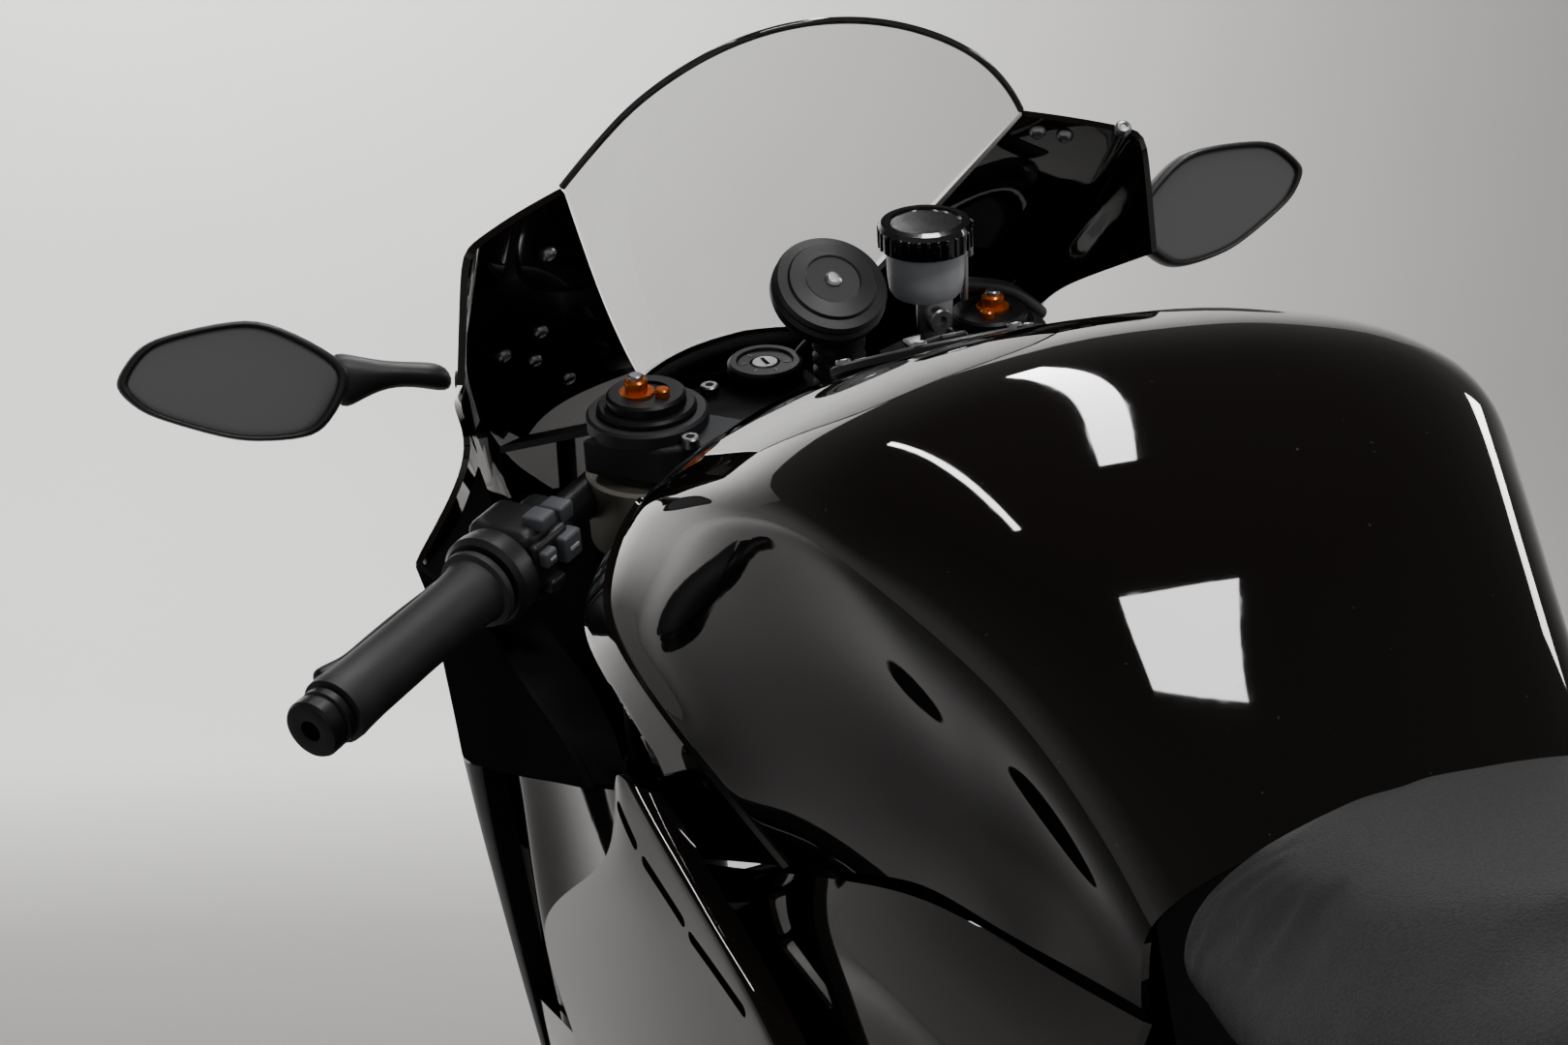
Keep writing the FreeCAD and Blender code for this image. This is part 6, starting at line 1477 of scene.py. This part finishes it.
tyre = grooved_tyre("front_tyre_treaded", 300, 120, 82, [(7, 42), (52, 70)])
tyre.data.transform(FRONT_WHEEL)
settle(tyre, STEER, "front_wheel", TYRE_RUBBER, ["front_tyre"])
tyre = grooved_tyre("rear_tyre_treaded", 318, 190, 100, [(14, 42), (49, 63)])
tyre.data.transform(REAR_WHEEL)
settle(tyre, BIKE, "rear_wheel", TYRE_RUBBER, ["rear_tyre"])
print("tyre faces", count_of(tyre))

# %% [markdown]
# ## Discs, sprocket and chain
# These are cut from flat plate. A flat curve with holes in it is the plate's drawing: its outline and its holes are
# closed lines, the curve fills what lies between them and gives it thickness, and then it becomes a mesh.


# %% Helpers for plates
def circle(radius, count=72, x=0, y=0):
    turns = [2 * math.pi * i / count for i in range(count)]
    return [(x + math.cos(a) * radius, y + math.sin(a) * radius) for a in turns]


def plate_from(name, loops, thick, place, edge=0.4):
    """A plate with holes from closed lines of (x, y) points, centred on its place."""
    curve = bpy.data.curves.new(name, "CURVE")
    curve.dimensions, curve.fill_mode = "2D", "BOTH"
    for loop in loops:
        spline = curve.splines.new("POLY")
        spline.points.add(len(loop) - 1)
        for point, (x, y) in zip(spline.points, loop):
            point.co = (x * MM, y * MM, 0, 1)
        spline.use_cyclic_u = True
    curve.extrude = (thick / 2 - edge) * MM
    curve.bevel_depth, curve.bevel_resolution, curve.offset = edge * MM, 0, -edge * MM
    piece = bpy.data.objects.new(name, curve)
    bpy.context.scene.collection.objects.link(piece)
    pick(piece)
    bpy.ops.object.convert(target="MESH")
    piece = bpy.context.object
    piece.data.transform(place)
    return smooth(outward(piece), 30)


def ring_of(radius, count, hole, sides=12, phase=0.0):
    """Round holes evenly spaced on a circle."""
    turns = [2 * math.pi * (i + phase) / count for i in range(count)]
    return [circle(hole, sides, math.cos(a) * radius, math.sin(a) * radius) for a in turns]


def arc_windows(inner, outer, count, share=0.6):
    """Windows between two radii, each as long as its share of the pitch."""
    loops = []
    for number in range(count):
        middle, half = 2 * math.pi * number / count, math.pi * share / count
        turns = [middle - half + 2 * half * i / 6 for i in range(7)]
        far = [(math.cos(a) * outer, math.sin(a) * outer) for a in turns]
        near = [(math.cos(a) * inner, math.sin(a) * inner) for a in turns[::-1]]
        loops.append(far + near)
    return loops


def brake_disc(name, radius, width, middle, wheel, hub=24.6):
    """A drilled rotor and its carrier with bobbins; middle is the plane's place along the axle."""
    plane = wheel @ Matrix.Translation((0, 0, middle * MM))
    inner = radius - width
    holes = []
    for row, phase in ((0.22, 0.0), (0.5, 0.33), (0.78, 0.66)):
        holes += ring_of(inner + width * row, 20, 3.6, 10, phase)
    rotor = plate_from(name + "_rotor", [circle(radius, 120), circle(inner, 96), *holes], 4.8, plane)
    loops = [circle(inner - 4, 96), circle(hub, 48), *arc_windows(hub + 14, inner - 16, 8)]
    carrier = plate_from(name + "_carrier", loops, 4.4, plane, 0.6)
    bobbin = [(0, -2.9), (6, -2.9), (6.6, -2.3), (6.6, 2.3), (6, 2.9), (0, 2.9)]
    turns = [2 * math.pi * (i + 0.5) / 10 for i in range(10)]
    spots = [((inner - 2) * math.cos(a) * MM, (inner - 2) * math.sin(a) * MM, 0) for a in turns]
    bobbins = [spun("bobbin", bobbin, plane @ Matrix.Translation(spot), 16) for spot in spots]
    return rotor, joined(name + "_carrier", [carrier, *bobbins])


# %% Brake discs
rotors, carriers = zip(*(brake_disc(f"front_{side}", 160, 34, along, FRONT_WHEEL)
                         for side, along in (("left", 65.5), ("right", -65.5))))
settle(joined("front_rotors", rotors), STEER, "front_wheel", DISC_STEEL, ["front_discs"])
settle(joined("front_carriers", carriers), STEER, "front_wheel", BLACK_METAL)
rotor, carrier = brake_disc("rear", 110, 26, -77.5, REAR_WHEEL)
settle(joined("rear_rotor", [rotor]), BIKE, "rear_wheel", DISC_STEEL, ["rear_disc"])
settle(joined("rear_carrier", [carrier]), BIKE, "rear_wheel", BLACK_METAL)

# %% Sprocket
TEETH, TIP, ROOT, CHAIN_LINE = 42, 92, 87, 111
teeth = []
for tooth in range(TEETH):
    for share, radius in ((0.0, TIP), (0.16, TIP), (0.36, ROOT), (0.64, ROOT), (0.84, TIP)):
        angle = 2 * math.pi * (tooth + share) / TEETH
        teeth.append((math.cos(angle) * radius, math.sin(angle) * radius))
plane = REAR_WHEEL @ Matrix.Translation((0, 0, CHAIN_LINE * MM))
loops = [teeth, circle(40, 72), *arc_windows(62, 78, 6, 0.55), *ring_of(50, 6, 4, 14, 0.5)]
wheel_plate = plate_from("sprocket_plate", loops, 6.6, plane, 0.8)
CARRIER = [(24.6, 75.2), (33, 75.2), (38, 82), (54, 104), (57, 107.4), (24.6, 107.4), (24.6, 75.2)]
carrier = spun("sprocket_carrier", CARRIER, REAR_WHEEL, 64)
nuts = [spun("sprocket_nut", [(0, 8), (4, 8), (4.4, 3), (7, 3), (7, 0), (0, 0)],
             plane @ Matrix.Translation((*(c * MM for c in ring[0]), 3.2 * MM)), 6)
        for ring in ring_of(50, 6, 0, 1, 0.5)]
settle(joined("sprocket", [wheel_plate, carrier, *nuts]), BIKE, "rear_wheel", STEEL, ["rear_sprocket"])

# %% [markdown]
# ## Chain
# The chain's middle line is two straight runs and two arcs. A function gives the point at any distance along it,
# and each link is placed between two such points. There are over a hundred links, so a link is only two waisted
# side plates and a roller of a few faces each, and outer and inner plates take turns.

# %% The chain's path
LINK_PITCH, LINK_HEIGHT, PLATE, ROLLER = 15.875, 10.4, 2.0, 4.6
SPROCKET_REAR, SPROCKET_FRONT = Vector((0, 318)), Vector((640, 405))
FRONT_TIP, PATH_ABOVE_TIP = 36, 7
PATH_REAR, PATH_FRONT = TIP + PATH_ABOVE_TIP, FRONT_TIP + PATH_ABOVE_TIP
way = SPROCKET_FRONT - SPROCKET_REAR
heading = math.atan2(way.y, way.x)
closing = math.asin((PATH_REAR - PATH_FRONT) / way.length)
run = way.length * math.cos(closing)
rear_arc, front_arc = PATH_REAR * (math.pi + 2 * closing), PATH_FRONT * (math.pi - 2 * closing)
whole = 2 * run + rear_arc + front_arc
links = round(whole / LINK_PITCH / 2) * 2


def on_chain(distance):
    """A point in the chain's plane at a distance along its loop, from the start of the upper run."""
    upper = heading + math.pi / 2 - closing
    lower = heading - math.pi / 2 + closing
    around = lambda centre, radius, angle: centre + Vector((math.cos(angle), math.sin(angle))) * radius
    distance %= whole
    if distance < run:
        start, end = around(SPROCKET_REAR, PATH_REAR, upper), around(SPROCKET_FRONT, PATH_FRONT, upper)
        return start.lerp(end, distance / run)
    distance -= run
    if distance < front_arc:
        return around(SPROCKET_FRONT, PATH_FRONT, upper - distance / PATH_FRONT)
    distance -= front_arc
    if distance < run:
        start, end = around(SPROCKET_FRONT, PATH_FRONT, lower), around(SPROCKET_REAR, PATH_REAR, lower)
        return start.lerp(end, distance / run)
    return around(SPROCKET_REAR, PATH_REAR, lower - (distance - run) / PATH_REAR)


# %% Links
def slab(loop, low, high, start):
    """Points and faces of a flat plate between two heights."""
    n = len(loop)
    points = [(x, y, z) for z in (low, high) for x, y in loop]
    faces = [tuple(range(start + n - 1, start - 1, -1)), tuple(range(start + n, start + 2 * n))]
    faces += [(start + i, start + (i + 1) % n, start + n + (i + 1) % n, start + n + i) for i in range(n)]
    return points, faces


points, faces = [], []
for link in range(links):
    a, b = on_chain(whole * link / links), on_chain(whole * (link + 1) / links)
    along = (b - a).normalized()
    across = Vector((-along.y, along.x))
    half = LINK_HEIGHT / 2
    outline = []
    for end, sign in ((b, 1), (a, -1)):
        for turn in (-90, -45, 0, 45, 90):
            angle = math.radians(turn)
            outline.append(end + (along * math.cos(angle) + across * math.sin(angle)) * half * sign)
    waist = [(a + b) / 2 + across * half * 0.72, (a + b) / 2 - across * half * 0.72]
    outline = outline[:5] + waist[:1] + outline[5:] + waist[1:]
    outer = 7.4 if link % 2 else 5.0
    roller = [b + Vector((math.cos(i * math.pi / 4), math.sin(i * math.pi / 4))) * ROLLER for i in range(8)]
    for loop, low, high in ((outline, outer, outer + PLATE), (outline, -outer - PLATE, -outer), (roller, -5, 5)):
        more, sides = slab([tuple(p) for p in loop], low, high, len(points))
        points += more
        faces += sides
chain = piece_from("chain_links", [(x, CHAIN_LINE + y, z) for x, z, y in points], faces)
pick(chain)
bpy.ops.object.mode_set(mode="EDIT")
bpy.ops.mesh.select_all(action="SELECT")
bpy.ops.mesh.normals_make_consistent(inside=False)
bpy.ops.object.mode_set(mode="OBJECT")
settle(smooth(chain, 30), BIKE, "chassis", CHAIN_STEEL, ["chain"])
print("links", links, "faces", count_of(chain))

# %% [markdown]
# ## Rounded edges on drawn parts
# Nothing cast or pressed has a knife edge, and a rounded one catches a thin light. The brackets and castings keep
# the shapes that they were drawn with. A copy of each is cleaned of its triangles, and its edges are bevelled.

# %% Softened copies
def extent(piece):
    """A piece's size along each axis."""
    return [max(values) - min(values) for values in zip(*(v.co for v in piece.data.vertices))]


SOFTENED = [
    # node, edge width, body, finish, slot
    ("front_calipers", 3.0, "steering", BLACK_METAL, "black_metal"),
    ("rear_caliper", 2.0, "chassis", BLACK_METAL, "black_metal"),
    ("plate_holder", 1.5, "chassis", SATIN_PLASTIC, "satin_plastic"),
    ("swingarm", 4.0, "chassis", FRAME_METAL, "alloy"),
    ("lower_clamp", 2.0, "steering", CLAMP_GREY, "alloy"),
    ("stand_bracket", 1.5, "chassis", BLACK_METAL, "black_metal"),
    ("engine", 4.0, "chassis", CAST_GREY, "engine"),
]
for node, width, body, finish, slot in SOFTENED:
    source = frame["nodes"][node]
    copy = bpy.data.objects.new(node + "_rounded", source.data.copy())
    bpy.context.scene.collection.objects.link(copy)
    pick(copy)
    bpy.ops.object.mode_set(mode="EDIT")
    bpy.ops.mesh.select_all(action="SELECT")
    bpy.ops.mesh.remove_doubles(threshold=0.00002)
    bpy.ops.mesh.dissolve_limited(angle_limit=math.radians(1))
    bpy.ops.object.mode_set(mode="OBJECT")
    before = extent(copy)
    add_modifier(copy, "BEVEL", width=width * MM, segments=2, limit_method="ANGLE", angle_limit=math.radians(35))
    apply_modifiers(copy)
    grown = [round((b - a) / MM, 2) for a, b in zip(before, extent(copy))]
    print(node, "grew by", grown, "faces", count_of(copy))
    settle(smooth(copy, 40), Matrix.Identity(4), body, finish, [node])
